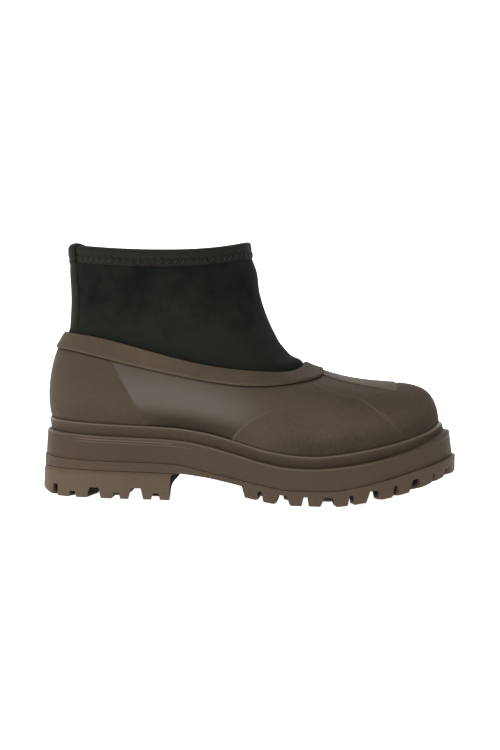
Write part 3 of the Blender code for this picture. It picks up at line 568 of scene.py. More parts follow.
def layer_rows(turns, section, lower, upper, lower_spread, upper_spread):
    """Rows of one layer of the sole from its section, between its lower and upper lines."""
    out, share, lift = (column[:, None] for column in np.array(section, float).T)
    height = lower + share * (upper - lower) + lift
    climb = (height - lower) / (upper - lower)
    return sole_ring(turns, lower_spread + climb * (upper_spread - lower_spread) + out, height)


def sole_lines(turns):
    """The sole's spreads and the heights of its lines at each turn."""
    along = WALL_TABLE.at(turns)[:, 0]
    spread = Spread(*SPREAD_TABLE.at(turns).T)
    return spread, Level(along, *(level(name, along) for name in Level._fields[1:]))


def frame_origin():
    """Middle of the outsole's edge in plan, which is where the frame has its origin."""
    turns = even_turns(2000)
    edge = sole_ring(turns, SPREAD_TABLE.at(turns)[:, 2], 0.0)
    return (edge.min(axis=0) + edge.max(axis=0)) / 2


ORIGIN = frame_origin()


def grid_normals(points):
    """Outward unit normals of a grid that closes round its columns: steps round crossed with steps up."""
    around = np.roll(points, -1, axis=1) - np.roll(points, 1, axis=1)
    normal = np.cross(around, np.gradient(points, axis=0))
    return normal / np.maximum(np.linalg.norm(normal, axis=-1), 1e-9)[..., None]


def edge_distance(values, points):
    """Distance in millimetres, over the surface, to the line where a function of the grid is zero.

    The function is divided by the length of its slope on the surface, worked out from the grid's own steps.
    """
    around = (np.roll(points, -1, axis=1) - np.roll(points, 1, axis=1)) / 2
    up = np.gradient(points, axis=0)
    change_around = (np.roll(values, -1, axis=1) - np.roll(values, 1, axis=1)) / 2
    change_up = np.gradient(values, axis=0)
    first, mixed, second = ((a * b).sum(axis=-1) for a, b in ((around, around), (around, up), (up, up)))
    area = np.maximum(first * second - mixed**2, 1e-9)
    slope = second * change_around**2 - 2 * mixed * change_around * change_up + first * change_up**2
    return values / np.sqrt(np.maximum(slope / area, 1e-4))


def pattern_map(points, wrap):
    """Pattern coordinates in metres: lengths round the widest row, and lengths up each column."""
    around = np.linalg.norm(np.diff(points, axis=1, append=points[:, :1]), axis=2).mean(axis=0)
    across = np.append(0.0, np.cumsum(around))[: points.shape[1] + wrap]
    steps = np.linalg.norm(np.diff(points, axis=0), axis=2)
    up = np.append(np.zeros((1, points.shape[1])), np.cumsum(steps, axis=0), axis=0)
    if wrap:
        up = np.append(up, up[:, :1], axis=1)
    return np.stack([np.broadcast_to(across, up.shape), up], axis=-1) * MM


def add_piece(name, points, material, nodes=(), closed_rows=False, wrap=True, marks=None):
    """A piece from a grid of points in millimetres, with quads between neighbouring rows and columns.

    The grid closes round its columns where wrap is set, and from its last row to its first where closed_rows
    is set. Marks are named numbers for each point, which materials read as attributes.
    """
    rows, columns = points.shape[:2]
    row = np.arange(rows if closed_rows else rows - 1)[:, None]
    column = np.arange(columns if wrap else columns - 1)[None, :]
    next_row, next_column = (row + 1) % rows, (column + 1) % columns
    corners = ((row, column), (row, next_column), (next_row, next_column), (next_row, column))
    quads = np.stack([np.broadcast_to(r * columns + c, (row.size, column.size)) for r, c in corners], axis=-1)
    mesh = bpy.data.meshes.new(name)
    mesh.vertices.add(rows * columns)
    mesh.vertices.foreach_set("co", ((points - ORIGIN) * MM).ravel())
    mesh.loops.add(quads.size)
    mesh.loops.foreach_set("vertex_index", quads.ravel())
    mesh.polygons.add(quads.size // 4)
    mesh.polygons.foreach_set("loop_start", np.arange(0, quads.size, 4))
    coordinates = pattern_map(points, wrap)
    if closed_rows:
        coordinates = np.append(coordinates, coordinates[-1:] + np.array([0.0, 0.001]), axis=0)
    places = ((row, column), (row, column + 1), (row + 1, column + 1), (row + 1, column))
    loops = np.stack([coordinates[np.broadcast_to(r, quads.shape[:2]), np.broadcast_to(c, quads.shape[:2])]
                      for r, c in places], axis=2)
    mesh.uv_layers.new(name=PATTERN).data.foreach_set("uv", loops.ravel())
    for mark, values in (marks or {}).items():
        layer = mesh.attributes.new(mark, "FLOAT", "POINT")
        layer.data.foreach_set("value", np.ascontiguousarray(values, np.float32).ravel())
    mesh.update(calc_edges=True)
    weld(mesh)
    mesh.validate()
    mesh.shade_smooth()
    mesh.materials.append(material)
    piece = bpy.data.objects.new(name, mesh)
    bpy.context.scene.collection.objects.link(piece)
    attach(piece, "root")
    if nodes:
        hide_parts(*nodes)
    return piece


def close_inwards(ring, along_from, along_to, shares):
    """Rows that run from a ring in to a spine along the middle of the boot, where they meet.

    Columns on the two sides that are equally far from the first one share a point of the spine.
    """
    partner = np.roll(ring[::-1], 1, axis=0)
    spine = (ring + partner) / 2
    spine[:, 0] = np.clip(spine[:, 0], along_from, along_to)
    spine[:, 1] = 0.0
    return ring + (spine - ring) * np.asarray(shares)[:, None, None]


def along_inwards(along, along_from, along_to, shares):
    """Places along the foot of the shell that go with the rows from a ring in to a spine."""
    spine = np.clip((along + np.roll(along[::-1], 1)) / 2, along_from, along_to)
    return along + (spine - along) * np.asarray(shares)[:, None]


def weld(mesh):
    """Join points of a mesh that lie in the same place, so that its seams and spines are closed."""
    work = bmesh.new()
    work.from_mesh(mesh)
    bmesh.ops.remove_doubles(work, verts=work.verts, dist=WELD * MM)
    work.to_mesh(mesh)
    work.free()


class Value:
    """A number or vector that varies over a surface; arithmetic on it adds Math nodes to its finish."""

    def __init__(self, finish, socket):
        self.finish = finish
        self.socket = socket

    def math(self, operation, *others):
        sockets = dict(enumerate((self, *others)))
        return self.finish.node("ShaderNodeMath", sockets, operation=operation)

    def __add__(self, other):
        return self.math("ADD", other)

    __radd__ = __add__

    def __sub__(self, other):
        return self.math("SUBTRACT", other)

    def __rsub__(self, other):
        return self * -1 + other

    def __mul__(self, other):
        return self.math("MULTIPLY", other)

    __rmul__ = __mul__

    def wave(self, length):
        """Sine of the value, with a wave of that length, from -1 to 1."""
        return (self * (2 * np.pi / length)).math("SINE")

    def ease(self, low, high):
        """Smooth step from 0 at low to 1 at high."""
        sockets = {"Value": self, "From Min": low, "From Max": high, "To Min": 0.0, "To Max": 1.0}
        return self.finish.node("ShaderNodeMapRange", sockets, interpolation_type="SMOOTHSTEP")


class Finish:
    """A material in the making: a Principled BSDF, and the nodes that feed it."""

    def __init__(self, name, **constants):
        self.material = bpy.data.materials.new(name)
        self.material.use_nodes = True
        self.tree = self.material.node_tree
        self.shader = self.tree.nodes["Principled BSDF"]
        for socket, value in constants.items():
            self.shader.inputs[socket.replace("_", " ")].default_value = value

    def node(self, kind, sockets=None, output=0, **settings):
        """Any node: its type, its settings, and the values or links of its sockets; returns one output."""
        made = self.tree.nodes.new(kind)
        for name, value in settings.items():
            setattr(made, name, value)
        for name, value in (sockets or {}).items():
            if isinstance(value, Value):
                self.tree.links.new(value.socket, made.inputs[name])
            else:
                made.inputs[name].default_value = value
        return Value(self, made.outputs[output])

    def place(self):
        """Object coordinates, in metres."""
        return self.node("ShaderNodeTexCoord", output="Object")

    def pattern(self):
        """The piece's own pattern coordinates: lengths round it and up it, in metres."""
        vector = self.node("ShaderNodeUVMap", uv_map=PATTERN)
        return [self.node("ShaderNodeSeparateXYZ", {0: vector}, output=k) for k in (0, 1)]

    def mark(self, name):
        return self.node("ShaderNodeAttribute", output="Fac", attribute_name=name)

    def noise(self, vector, size, detail=2.0, roughness=0.5):
        """Soft noise from 0 to 1, with lumps of about that size in metres."""
        sockets = {"Vector": vector, "Scale": 1 / size, "Detail": detail, "Roughness": roughness}
        return self.node("ShaderNodeTexNoise", sockets)

    def vector(self, *parts):
        return self.node("ShaderNodeCombineXYZ", dict(enumerate(parts)))

    def colour(self, dark, light, share, socket="Base Color"):
        """Base colour, or another one, between a dark and a light one."""
        sockets = {0: share, 6: (*dark, 1.0), 7: (*light, 1.0)}
        self.link(socket, self.node("ShaderNodeMix", sockets, output=2, data_type="RGBA"))

    def bump(self, height, depth):
        """Relief in the normals: heights of about 0 to 1 stand for a depth in metres."""
        sockets = {"Height": height, "Distance": depth, "Strength": 1.0}
        self.link("Normal", self.node("ShaderNodeBump", sockets))

    def link(self, socket, value):
        self.tree.links.new(value.socket, self.shader.inputs[socket])


def shade(colour, factor):
    """A colour made darker or lighter by a factor."""
    return tuple(np.array(colour) * factor)


def moulded_rubber(colour):
    """Shell rubber: satin where it is smooth, and matt with a fine weave or leather grain on the panels."""
    finish = Finish("moulded_rubber", Specular_IOR_Level=0.055, Coat_Roughness=0.46)
    place = finish.place()
    around, up = finish.pattern()
    counter = finish.mark("counter").ease(-0.3, 0.5)
    cap = finish.mark("cap").ease(-0.3, 0.6)
    strip = finish.mark("strip").ease(-0.4, 0.4)
    edge = finish.mark("edge")
    crease = finish.mark("crease")
    grained = (finish.mark("wing") + cap).math("MINIMUM", 1.0)
    grained = grained - grained * strip
    weave = (up + around * 0.5).wave(0.0016) * 0.7 + (up - around * 0.5).wave(0.0016) * 0.3
    wander = finish.noise(place, 0.006, 1.0) * 0.9
    streaks = finish.noise(finish.vector(around * 1000 + wander, up * 260, 0.0), 1.0, 2.0, 0.55)
    peel = finish.noise(place, 0.0011, 2.0)
    cloud = finish.noise(place, 0.03, 3.0)
    speck = finish.noise(place, 0.0007, 1.0)
    # Painted highlights on the panels' edges; painted shade above the lip and under the band.
    tone = 0.48 + (cloud - 0.5) * 0.16 + (speck - 0.5) * 0.12 + edge * 0.34 - crease * 0.53
    # The vamp strip is painted lighter: a painted sheen where light glances off its face.
    tone = tone + counter * (0.01 + weave * 0.05) + grained * (streaks - 0.5) * 0.32 + strip * 0.15
    finish.colour(shade(colour, 0.3), shade(colour, 1.7), tone)
    rough = 0.46 + (cloud - 0.5) * 0.08 + (peel - 0.5) * 0.05
    finish.link("Roughness", rough + counter * 0.12 + grained * 0.24 + strip * 0.12)
    smooth = 1 - (counter + grained).math("MINIMUM", 1.0)
    finish.link("Coat Weight", smooth * (1 - strip) * finish.mark("gloss"))
    finish.bump(counter * weave * 0.4 + grained * streaks * 2.0 + peel * 0.12, 0.0002)
    return finish.material


def band_rubber(colour):
    """Smooth rubber of the band: faint clouds, a fine skin, a painted highlight on its rounded edge, and
    painted shade towards its front end.
    """
    finish = Finish("band_rubber", Specular_IOR_Level=0.05)
    place = finish.place()
    cloud = finish.noise(place, 0.02, 3.0)
    skin = finish.noise(place, 0.0012, 2.0)
    edge = finish.mark("edge")
    tone = 0.52 + (cloud - 0.5) * 0.3 + (skin - 0.5) * 0.1 + edge * 0.22 - finish.mark("dark")
    finish.colour(shade(colour, 0.3), shade(colour, 1.7), tone)
    finish.link("Roughness", 0.66 + (cloud - 0.5) * 0.12 + (skin - 0.5) * 0.06)
    finish.bump(skin * 0.6 + cloud, 0.00012)
    return finish.material


def sole_rubber(name, colour):
    """Sole rubber: matt and finely speckled, with painted highlights on its edges and painted shade in
    the depths of its tread.
    """
    finish = Finish(name, Specular_IOR_Level=0.08, Coat_Roughness=0.35)
    place = finish.place()
    cloud = finish.noise(place, 0.025, 3.0)
    speck = finish.noise(place, 0.0006, 1.0)
    skin = finish.noise(place, 0.0014, 2.0)
    edge = finish.mark("edge")
    depth = finish.mark("inner").ease(0.3, 4.0)
    # Painted light: the edge mark gives painted highlights, the inner mark painted shade in hollows.
    tone = 0.6 + (cloud - 0.5) * 0.14 + (speck - 0.5) * 0.16 + edge * 0.4 - depth * 0.6
    finish.colour(shade(colour, 0.06), shade(colour, 1.6), tone)
    finish.link("Roughness", 0.58 + (cloud - 0.5) * 0.1 + (speck - 0.5) * 0.1 - edge * 0.08 + depth * 0.35)
    finish.link("Coat Weight", (edge * 0.7).math("MINIMUM", 0.7))
    finish.bump(skin * 0.7 + speck * 0.5, 0.00012)
    return finish.material


def neoprene_jersey(colour):
    """Neoprene faced with a brushed jersey: fine knit rows, a short nap, and soft uneven patches."""
    finish = Finish("neoprene_jersey", Specular_IOR_Level=0.05, Sheen_Weight=0.015, Sheen_Roughness=0.5)
    finish.shader.inputs["Sheen Tint"].default_value = (0.75, 0.85, 0.78, 1.0)
    place = finish.place()
    around, up = finish.pattern()
    height = finish.node("ShaderNodeSeparateXYZ", {0: place}, output=2)
    patches = finish.noise(place, 0.012, 4.0, 0.6)
    clouds = finish.noise(place, 0.035, 2.0)
    nap = finish.noise(place, 0.0009, 2.0, 0.7)
    wander = (patches - 0.5) * 0.0012
    knit = (around + wander).wave(0.0009) * (up + wander).wave(0.0012)
    tone = 0.48 + (patches - 0.5) * 1.3 + (clouds - 0.5) * 1.0 + (nap - 0.5) * 0.3 + knit * 0.06
    # Painted light: the shaft is lighter towards its foot, fully below 85 mm and fading out by 150 mm.
    tone = tone + (1 - height.ease(0.085, 0.15)) * 0.9
    finish.colour(shade(colour, 0.5), shade(colour, 1.55), tone)
    finish.link("Roughness", 0.82 + (nap - 0.5) * 0.2)
    finish.bump(knit * 0.35 + nap * 0.8, 0.00018)
    return finish.material


def woven_tape(name, colour):
    """Stretch binding: a fine twill, slightly shiny on its ridges, with a soft mottle and darker marks, some
    of them painted shadow along edges.
    """
    finish = Finish(name, Specular_IOR_Level=0.1, Sheen_Weight=0.01, Sheen_Roughness=0.45)
    place = finish.place()
    around, up = finish.pattern()
    mottle = finish.noise(place, 0.006, 3.0)
    fuzz = finish.noise(place, 0.0008, 2.0)
    twill = (around * 0.8 + up).wave(0.0011)
    rib = around.wave(0.0013)
    tone = 0.36 + mottle * 0.35 + twill * 0.08 + (fuzz - 0.5) * 0.35 - finish.mark("dark")
    finish.colour(shade(colour, 0.25), shade(colour, 1.55), tone)
    finish.link("Roughness", 0.74 + (fuzz - 0.5) * 0.2 - twill * 0.05)
    finish.bump(twill * 0.4 + rib * 0.2 + fuzz * 0.5, 0.00016)
    return finish.material


def twisted_thread(colour):
    """Sewing thread: strands that wind round it, with a slight shine."""
    finish = Finish("twisted_thread", Specular_IOR_Level=0.4)
    around, up = finish.pattern()
    fuzz = finish.noise(finish.place(), 0.0006, 2.0)
    strands = (around * 3.0 + up).wave(0.0008)
    finish.colour(shade(colour, 0.65), shade(colour, 1.35), 0.5 + strands * 0.3 + (fuzz - 0.5) * 0.3)
    finish.link("Roughness", 0.6 + (fuzz - 0.5) * 0.15)
    finish.bump(strands, 0.00012)
    return finish.material


def felt_footbed(colour):
    """Footbed cover: felted fibre, mottled in soft patches."""
    finish = Finish("felt_footbed", Specular_IOR_Level=0.2, Sheen_Weight=0.15, Sheen_Roughness=0.6)
    place = finish.place()
    fibre = finish.noise(place, 0.0012, 4.0, 0.7)
    patch = finish.noise(place, 0.018, 2.0)
    finish.colour(shade(colour, 0.6), shade(colour, 1.6), fibre * 0.6 + patch * 0.4)
    finish.link("Roughness", 0.85 + (fibre - 0.5) * 0.15)
    finish.bump(fibre, 0.0004)
    return finish.material


def paper_floor(colour):
    """Studio paper: near white, with a faint tooth, and a painted glow, faint in front of the boot and full
    under and behind it.
    """
    finish = Finish("paper_floor", Specular_IOR_Level=0.0, Roughness=0.9, Emission_Strength=1.0)
    place = finish.place()
    tooth = finish.noise(place, 0.004, 2.0)
    behind = finish.node("ShaderNodeSeparateXYZ", {0: place}, output=1).ease(-0.16, -0.05)
    finish.colour(shade(colour, 0.985), colour, tooth)
    # Painted glow: the paper glows faintly in front of the boot and fully under and behind it.
    finish.colour((0.34, 0.34, 0.34), (1.0, 1.0, 1.0), behind, "Emission Color")
    return finish.material


class BootSizes(bpy.types.PropertyGroup):
    """Sizes of the boot's finish that a user would change."""

    shell_wall: FloatProperty(
        name="Shell wall", description="Thickness of the rubber shell", default=0.0026, unit="LENGTH"
    )
    shell_skin: FloatProperty(
        name="Shell skin", description="How far the plain shell stands out over its frame", default=0.0004,
        unit="LENGTH",
    )
    counter_step: FloatProperty(
        name="Counter step", description="Height of the heel counter's edge", default=0.00055, unit="LENGTH"
    )
    wing_step: FloatProperty(
        name="Wing step", description="Height of the side wing's rear edge", default=0.0008, unit="LENGTH"
    )
    cap_step: FloatProperty(
        name="Cap step", description="Height of the toe cap's edge", default=0.0005, unit="LENGTH"
    )
    strip_step: FloatProperty(
        name="Strip step", description="Height of the strip down the vamp", default=0.0008, unit="LENGTH"
    )
    rib_rise: FloatProperty(
        name="Rib rise", description="Height of the fine rib beside the vamp", default=0.00045, unit="LENGTH"
    )
    neoprene: FloatProperty(
        name="Neoprene", description="Thickness of the shaft's wall", default=0.0036, unit="LENGTH"
    )
    shaft_tuck: FloatProperty(
        name="Shaft tuck", description="How far the shaft runs down inside the shell", default=0.010,
        unit="LENGTH",
    )
    stitch_length: FloatProperty(
        name="Stitch length", description="Length of one stitch of the collar's stitching", default=0.0049,
        unit="LENGTH",
    )
    thread_radius: FloatProperty(
        name="Thread radius", description="Radius of the collar's thread", default=0.0003, unit="LENGTH"
    )
    tape_thickness: FloatProperty(
        name="Tape thickness", description="Thickness of the tape over the back seam", default=0.0011,
        unit="LENGTH",
    )
    footbed_thickness: FloatProperty(
        name="Footbed thickness", description="Thickness of the insole", default=0.005, unit="LENGTH"
    )
    midsole_rib: FloatProperty(
        name="Midsole rib", description="Height of the fine ribs on the midsole's heel", default=0.0004,
        unit="LENGTH",
    )
    columns: IntProperty(
        name="Columns", description="Number of mesh columns round the boot", default=800, min=100, max=900
    )


class BootColours(bpy.types.PropertyGroup):
    """Colours of the boot's materials, as linear values."""

    shell: FloatVectorProperty(
        name="Shell", description="Colour of the shell's rubber", default=(0.089, 0.0675, 0.0465),
        subtype="COLOR", min=0, max=1,
    )
    sole: FloatVectorProperty(
        name="Sole", description="Colour of the sole's rubber", default=(0.0825, 0.0604, 0.0412),
        subtype="COLOR", min=0, max=1,
    )
    neoprene: FloatVectorProperty(
        name="Neoprene", description="Colour of the shaft", default=(0.0114, 0.0127, 0.0099),
        subtype="COLOR", min=0, max=1,
    )
    binding: FloatVectorProperty(
        name="Binding", description="Colour of the collar's binding and back tape",
        default=(0.0235, 0.0215, 0.0165), subtype="COLOR", min=0, max=1,
    )
    thread: FloatVectorProperty(
        name="Thread", description="Colour of the collar's stitching", default=(0.062, 0.059, 0.049),
        subtype="COLOR", min=0, max=1,
    )
    footbed: FloatVectorProperty(
        name="Footbed", description="Colour of the insole's cover", default=(0.018, 0.018, 0.017),
        subtype="COLOR", min=0, max=1,
    )
    floor: FloatVectorProperty(
        name="Floor", description="Colour of the studio floor", default=(0.92, 0.92, 0.92),
        subtype="COLOR", min=0, max=1,
    )


class BootPart(bpy.types.Operator):
    """Base of the boot's operators, with its sizes in millimetres at hand"""

    bl_options = {"REGISTER", "UNDO"}

    def execute(self, context):
        self.colours = context.scene.boot_colours
        sizes = context.scene.boot_sizes
        names = [name for name in BootSizes.__annotations__ if name != "columns"]
        self.size = {name: getattr(sizes, name) / MM for name in names}
        self.columns = sizes.columns
        self.build()
        return {"FINISHED"}


class BOOT_OT_shell(BootPart):
    """Build the rubber shell, with its counter, wings, toe cap, vamp strip and ribs"""

    bl_idname = "boot.shell"
    bl_label = "Rubber shell"
    ROWS = 108
    INNER_ROWS = 12
    SEAT = 0.3
    RIM_FADE = (1.0, 0.93)
    WING_FADE = (138.0, 176.0)
    VAMP_GRAIN = (166.0, 198.0)
    RIB_FADE = (44.0, 74.0)
    RIB_START = (172.0, 178.0)
    CREASE_BEHIND = (60.0, 95.0)
    CREASE_AHEAD = (90.0, 145.0)
    CREASE_ON_WING = (190.0, 150.0)
    GLOSS_LOW = (8.0, 19.0)
    GLOSS_HIGH = (42.0, 24.0)
    GLOSS_AHEAD = (118.0, 156.0)

    def build(self):
        turns = even_turns(self.columns)
        climbs = np.repeat(np.linspace(0, 1, self.ROWS)[:, None], len(turns), axis=1)
        face = shell_face(turns, climbs)
        marks = self.panels(face, STRETCH_TABLE.at(turns)[:, 0])
        rise = self.size["shell_skin"] + marks.pop("relief")
        rise *= ease(climbs, *self.RIM_FADE)
        outside = face + grid_normals(face) * rise[..., None]
        inner_climbs = np.repeat(np.linspace(1, 0, self.INNER_ROWS)[:, None], len(turns), axis=1)
        inside = offset_face(shell_face, turns, inner_climbs, -self.size["shell_wall"])
        _, lines = sole_lines(turns)
        seat = lines.ledge + self.SEAT
        outer_seat, inner_seat = (
            sole_ring(turns, spread, seat)[None] for spread in (0.0, -self.size["shell_wall"])
        )
        points = np.concatenate([outer_seat, outside, inside, inner_seat])
        unseen = ((len(outer_seat), len(inside) + len(inner_seat)), (0, 0))
        plain = {"wing": 0.0, "edge": 0.0, "crease": 0.0, "gloss": 0.0}
        marks = {
            name: np.pad(values, unseen, constant_values=plain.get(name, -FAR))
            for name, values in marks.items()
        }
        material = moulded_rubber(self.colours.shell)
        nodes = ("upper", "heel_counter", "toe_cap", "wing_outer", "wing_inner", "vamp_strip",
                 "vamp_seam_outer", "vamp_seam_inner")
        add_piece("rubber_shell", points, material, nodes, closed_rows=True, marks=marks)

    def panels(self, face, stretch):
        """Distances to the panels' edges, and their relief: steps at the edges, and a bell-shaped rib.

        Counter, wing and cap are cut in side view, the strip in plan, as on the solids. The strip lies over
        the cap's edge and ends in round corners, by a soft minimum of the distances to its side and its tip.
        The wing's step dies away forwards. Painted shade darkens the wall above the lip, where it tucks
        in, and in a thin line under the band's overhang. Painted highlights lighten the panels' edges.
        """
        along, across, height = np.moveaxis(face, -1, 0)
        low, high = COUNTER_EDGE
        lean = (high.along - low.along) / (high.height - low.height)
        counter = edge_distance(low.along + (height - low.height) * lean - along, face)
        cap = edge_distance(along - smooth_through([(m.height, m.along) for m in CAP_EDGE], height), face)
        wing = edge_distance(smooth_through(WING_EDGE, along) - height, face)
        rib = edge_distance(height - smooth_through(RIB_LINE, along), face)
        strip = edge_distance(smooth_through(STRIP_HALVES, along) - np.abs(across), face) - 0.5
        strip = -STRIP_CORNER * np.logaddexp(-strip / STRIP_CORNER, (along - STRIP_TIP) / STRIP_CORNER)
        strip = np.where(along > STRIP_START, strip, -FAR)
        fade = ease(along, *self.WING_FADE)
        soft = 0.45 + 13.0 * fade
        vamp = ease(along, *self.VAMP_GRAIN)
        wing_share = np.maximum(ease(wing, -soft, soft), vamp) * ease(cap, 1.2, -0.6)
        wing_step = self.size["wing_step"] * (1 - fade) * ease(wing, -0.45, 0.45) * ease(cap, 1.0, -0.4)
        cap_share = ease(cap, -0.5, 0.5)
        strip_share = ease(strip, -0.55, 0.35)
        rib_share = ease(height, *self.RIB_FADE) * ease(along, *self.RIB_START)
        ridge = hump(rib, 0.6) - 0.3 * hump(rib + 1.4, 0.6)
        relief = self.size["counter_step"] * ease(counter, -0.4, 0.4)
        relief = relief + wing_step + self.size["cap_step"] * cap_share * (1 - strip_share)
        relief = relief + self.size["strip_step"] * strip_share
        relief = relief + self.size["rib_rise"] * ridge * rib_share * (1 - strip_share)
        # Painted highlights along the counter's, wing's, rib's and strip's edges.
        edge = 0.35 * hump(counter - 0.4, 0.5) + hump(wing - 0.3, 0.6) * (1 - fade)
        edge = edge + 0.32 * hump(rib, 0.7) * rib_share + 0.3 * hump(strip - 0.3, 0.5) * (along > STRIP_START)
        foot = np.linalg.norm(np.diff(face, axis=0, prepend=face[:1]), axis=2).cumsum(axis=0)
        # Painted shade above the lip, most at the waist, less on the wing, and a shadow line under the band.
        tuck = 0.3 + 0.66 * ease(along, *self.CREASE_BEHIND) - 0.33 * ease(along, *self.CREASE_AHEAD)
        tuck = tuck * (1 - 0.7 * wing_share * ease(along, *self.CREASE_ON_WING))
        below_band = foot[-1] - foot - BAND_WIDTH * stretch
        gloss = ease(foot, *self.GLOSS_LOW) * (0.6 + 0.4 * ease(foot, *self.GLOSS_HIGH))
        gloss = gloss * (1 - 0.88 * ease(along, *self.GLOSS_AHEAD))
        return {
            "gloss": gloss,
            "crease": np.maximum(0.8 * tuck * hump(foot - 4.0, 8.0), hump(below_band - 0.3, 0.8)),
            "counter": np.clip(counter, -FAR, FAR),
            "wing": wing_share,
            "cap": np.clip(cap, -FAR, FAR),
            "strip": np.clip(strip, -FAR, FAR),
            "edge": edge,
            "relief": relief,
        }


class BOOT_OT_band(BootPart):
    """Build the thick band round the shell's rim, with its overhanging lower edge"""

    bl_idname = "boot.band"
    bl_label = "Rim band"
    FRONT = (120.0, 178.0)
    PALE_SIDE = 74.0

    def build(self):
        turns = even_turns(self.columns)
        section = rounded(BAND_SECTION, 2)
        points = trim_rows(shell_face, turns, section, STRETCH_TABLE.at(turns)[:, 0])[::-1]
        # Painted highlight along the band's rounded top edge.
        edge = 0.7 * hump(section[::-1, 0] - 0.9, 0.9)
        edge = np.repeat(edge[:, None], len(turns), axis=1)
        along = points[..., 0]
        # Painted shade towards the band's front end, and a painted highlight on its sides about 74 mm along.
        dark = 0.2 * ease(along, *self.FRONT) - 0.1 * hump(along - self.PALE_SIDE, 26.0)
        marks = {"edge": edge, "dark": dark}
        material = band_rubber(shade(self.colours.shell, 1.12))
        add_piece("rim_band", points, material, ("top_band",), closed_rows=True, marks=marks)


class BOOT_OT_shaft(BootPart):
    """Build the neoprene shaft with its soft folds"""

    bl_idname = "boot.shaft"
    bl_label = "Neoprene shaft"
    ROWS = 66
    INNER_ROWS = 12
    UNDER_ROLL = 1.5

    def build(self):
        turns = even_turns(self.columns)
        stop = climbs_below_top(shaft_face, turns, [self.UNDER_ROLL])
        climbs = np.linspace(0, 1, self.ROWS)[:, None] * stop
        face = shaft_face(turns, climbs)
        outside = face + grid_normals(face) * self.folds(face)[..., None]
        inner_climbs = np.linspace(1, 0, self.INNER_ROWS)[:, None] * stop
        inside = offset_face(shaft_face, turns, inner_climbs, -self.size["neoprene"])
        tuck = climbs_below_top(shell_face, turns, [self.size["shaft_tuck"]])
        behind = -self.size["shell_wall"] - SHAFT_GAP
        outer_tuck = offset_face(shell_face, turns, tuck, behind)
        inner_tuck = offset_face(shell_face, turns, tuck, behind - self.size["neoprene"])
        points = np.concatenate([outer_tuck, outside, inside, inner_tuck])
        material = neoprene_jersey(self.colours.neoprene)
        add_piece("neoprene_shaft", points, material, ("shaft",), closed_rows=True)

    def folds(self, face):
        """Relief of the folds: each is a bell across its line in side view, dying away at both ends."""
        along, _, height = np.moveaxis(face, -1, 0)
        relief = np.zeros(along.shape)
        for fold in FOLDS:
            start, end = np.array(fold.start), np.array(fold.end)
            run = end - start
            length = np.linalg.norm(run)
            run = run / length
            ahead = (along - start[0]) * run[0] + (height - start[1]) * run[1]
            aside = (height - start[1]) * run[0] - (along - start[0]) * run[1]
            reach = hump((ahead - length / 2) / length, 0.45)
            relief += fold.rise * hump(aside, fold.spread) * reach
        return relief


def collar_roll(turns, angles, extra):
    """Rows over the collar's top: half an ellipse from the outside over to the inside, grown by an extra."""
    climb = climbs_below_top(shaft_face, turns, [ROLL_BELOW])
    outer = offset_face(shaft_face, turns, climb, ROLL_OUT + extra)
    inner = offset_face(shaft_face, turns, climb, ROLL_IN - extra)
    angles = np.asarray(angles)[:, None, None]
    middle, half = (outer + inner) / 2, (outer - inner) / 2
    return middle + half * np.cos(angles) + UP * (ROLL_BELOW + extra) * np.sin(angles)


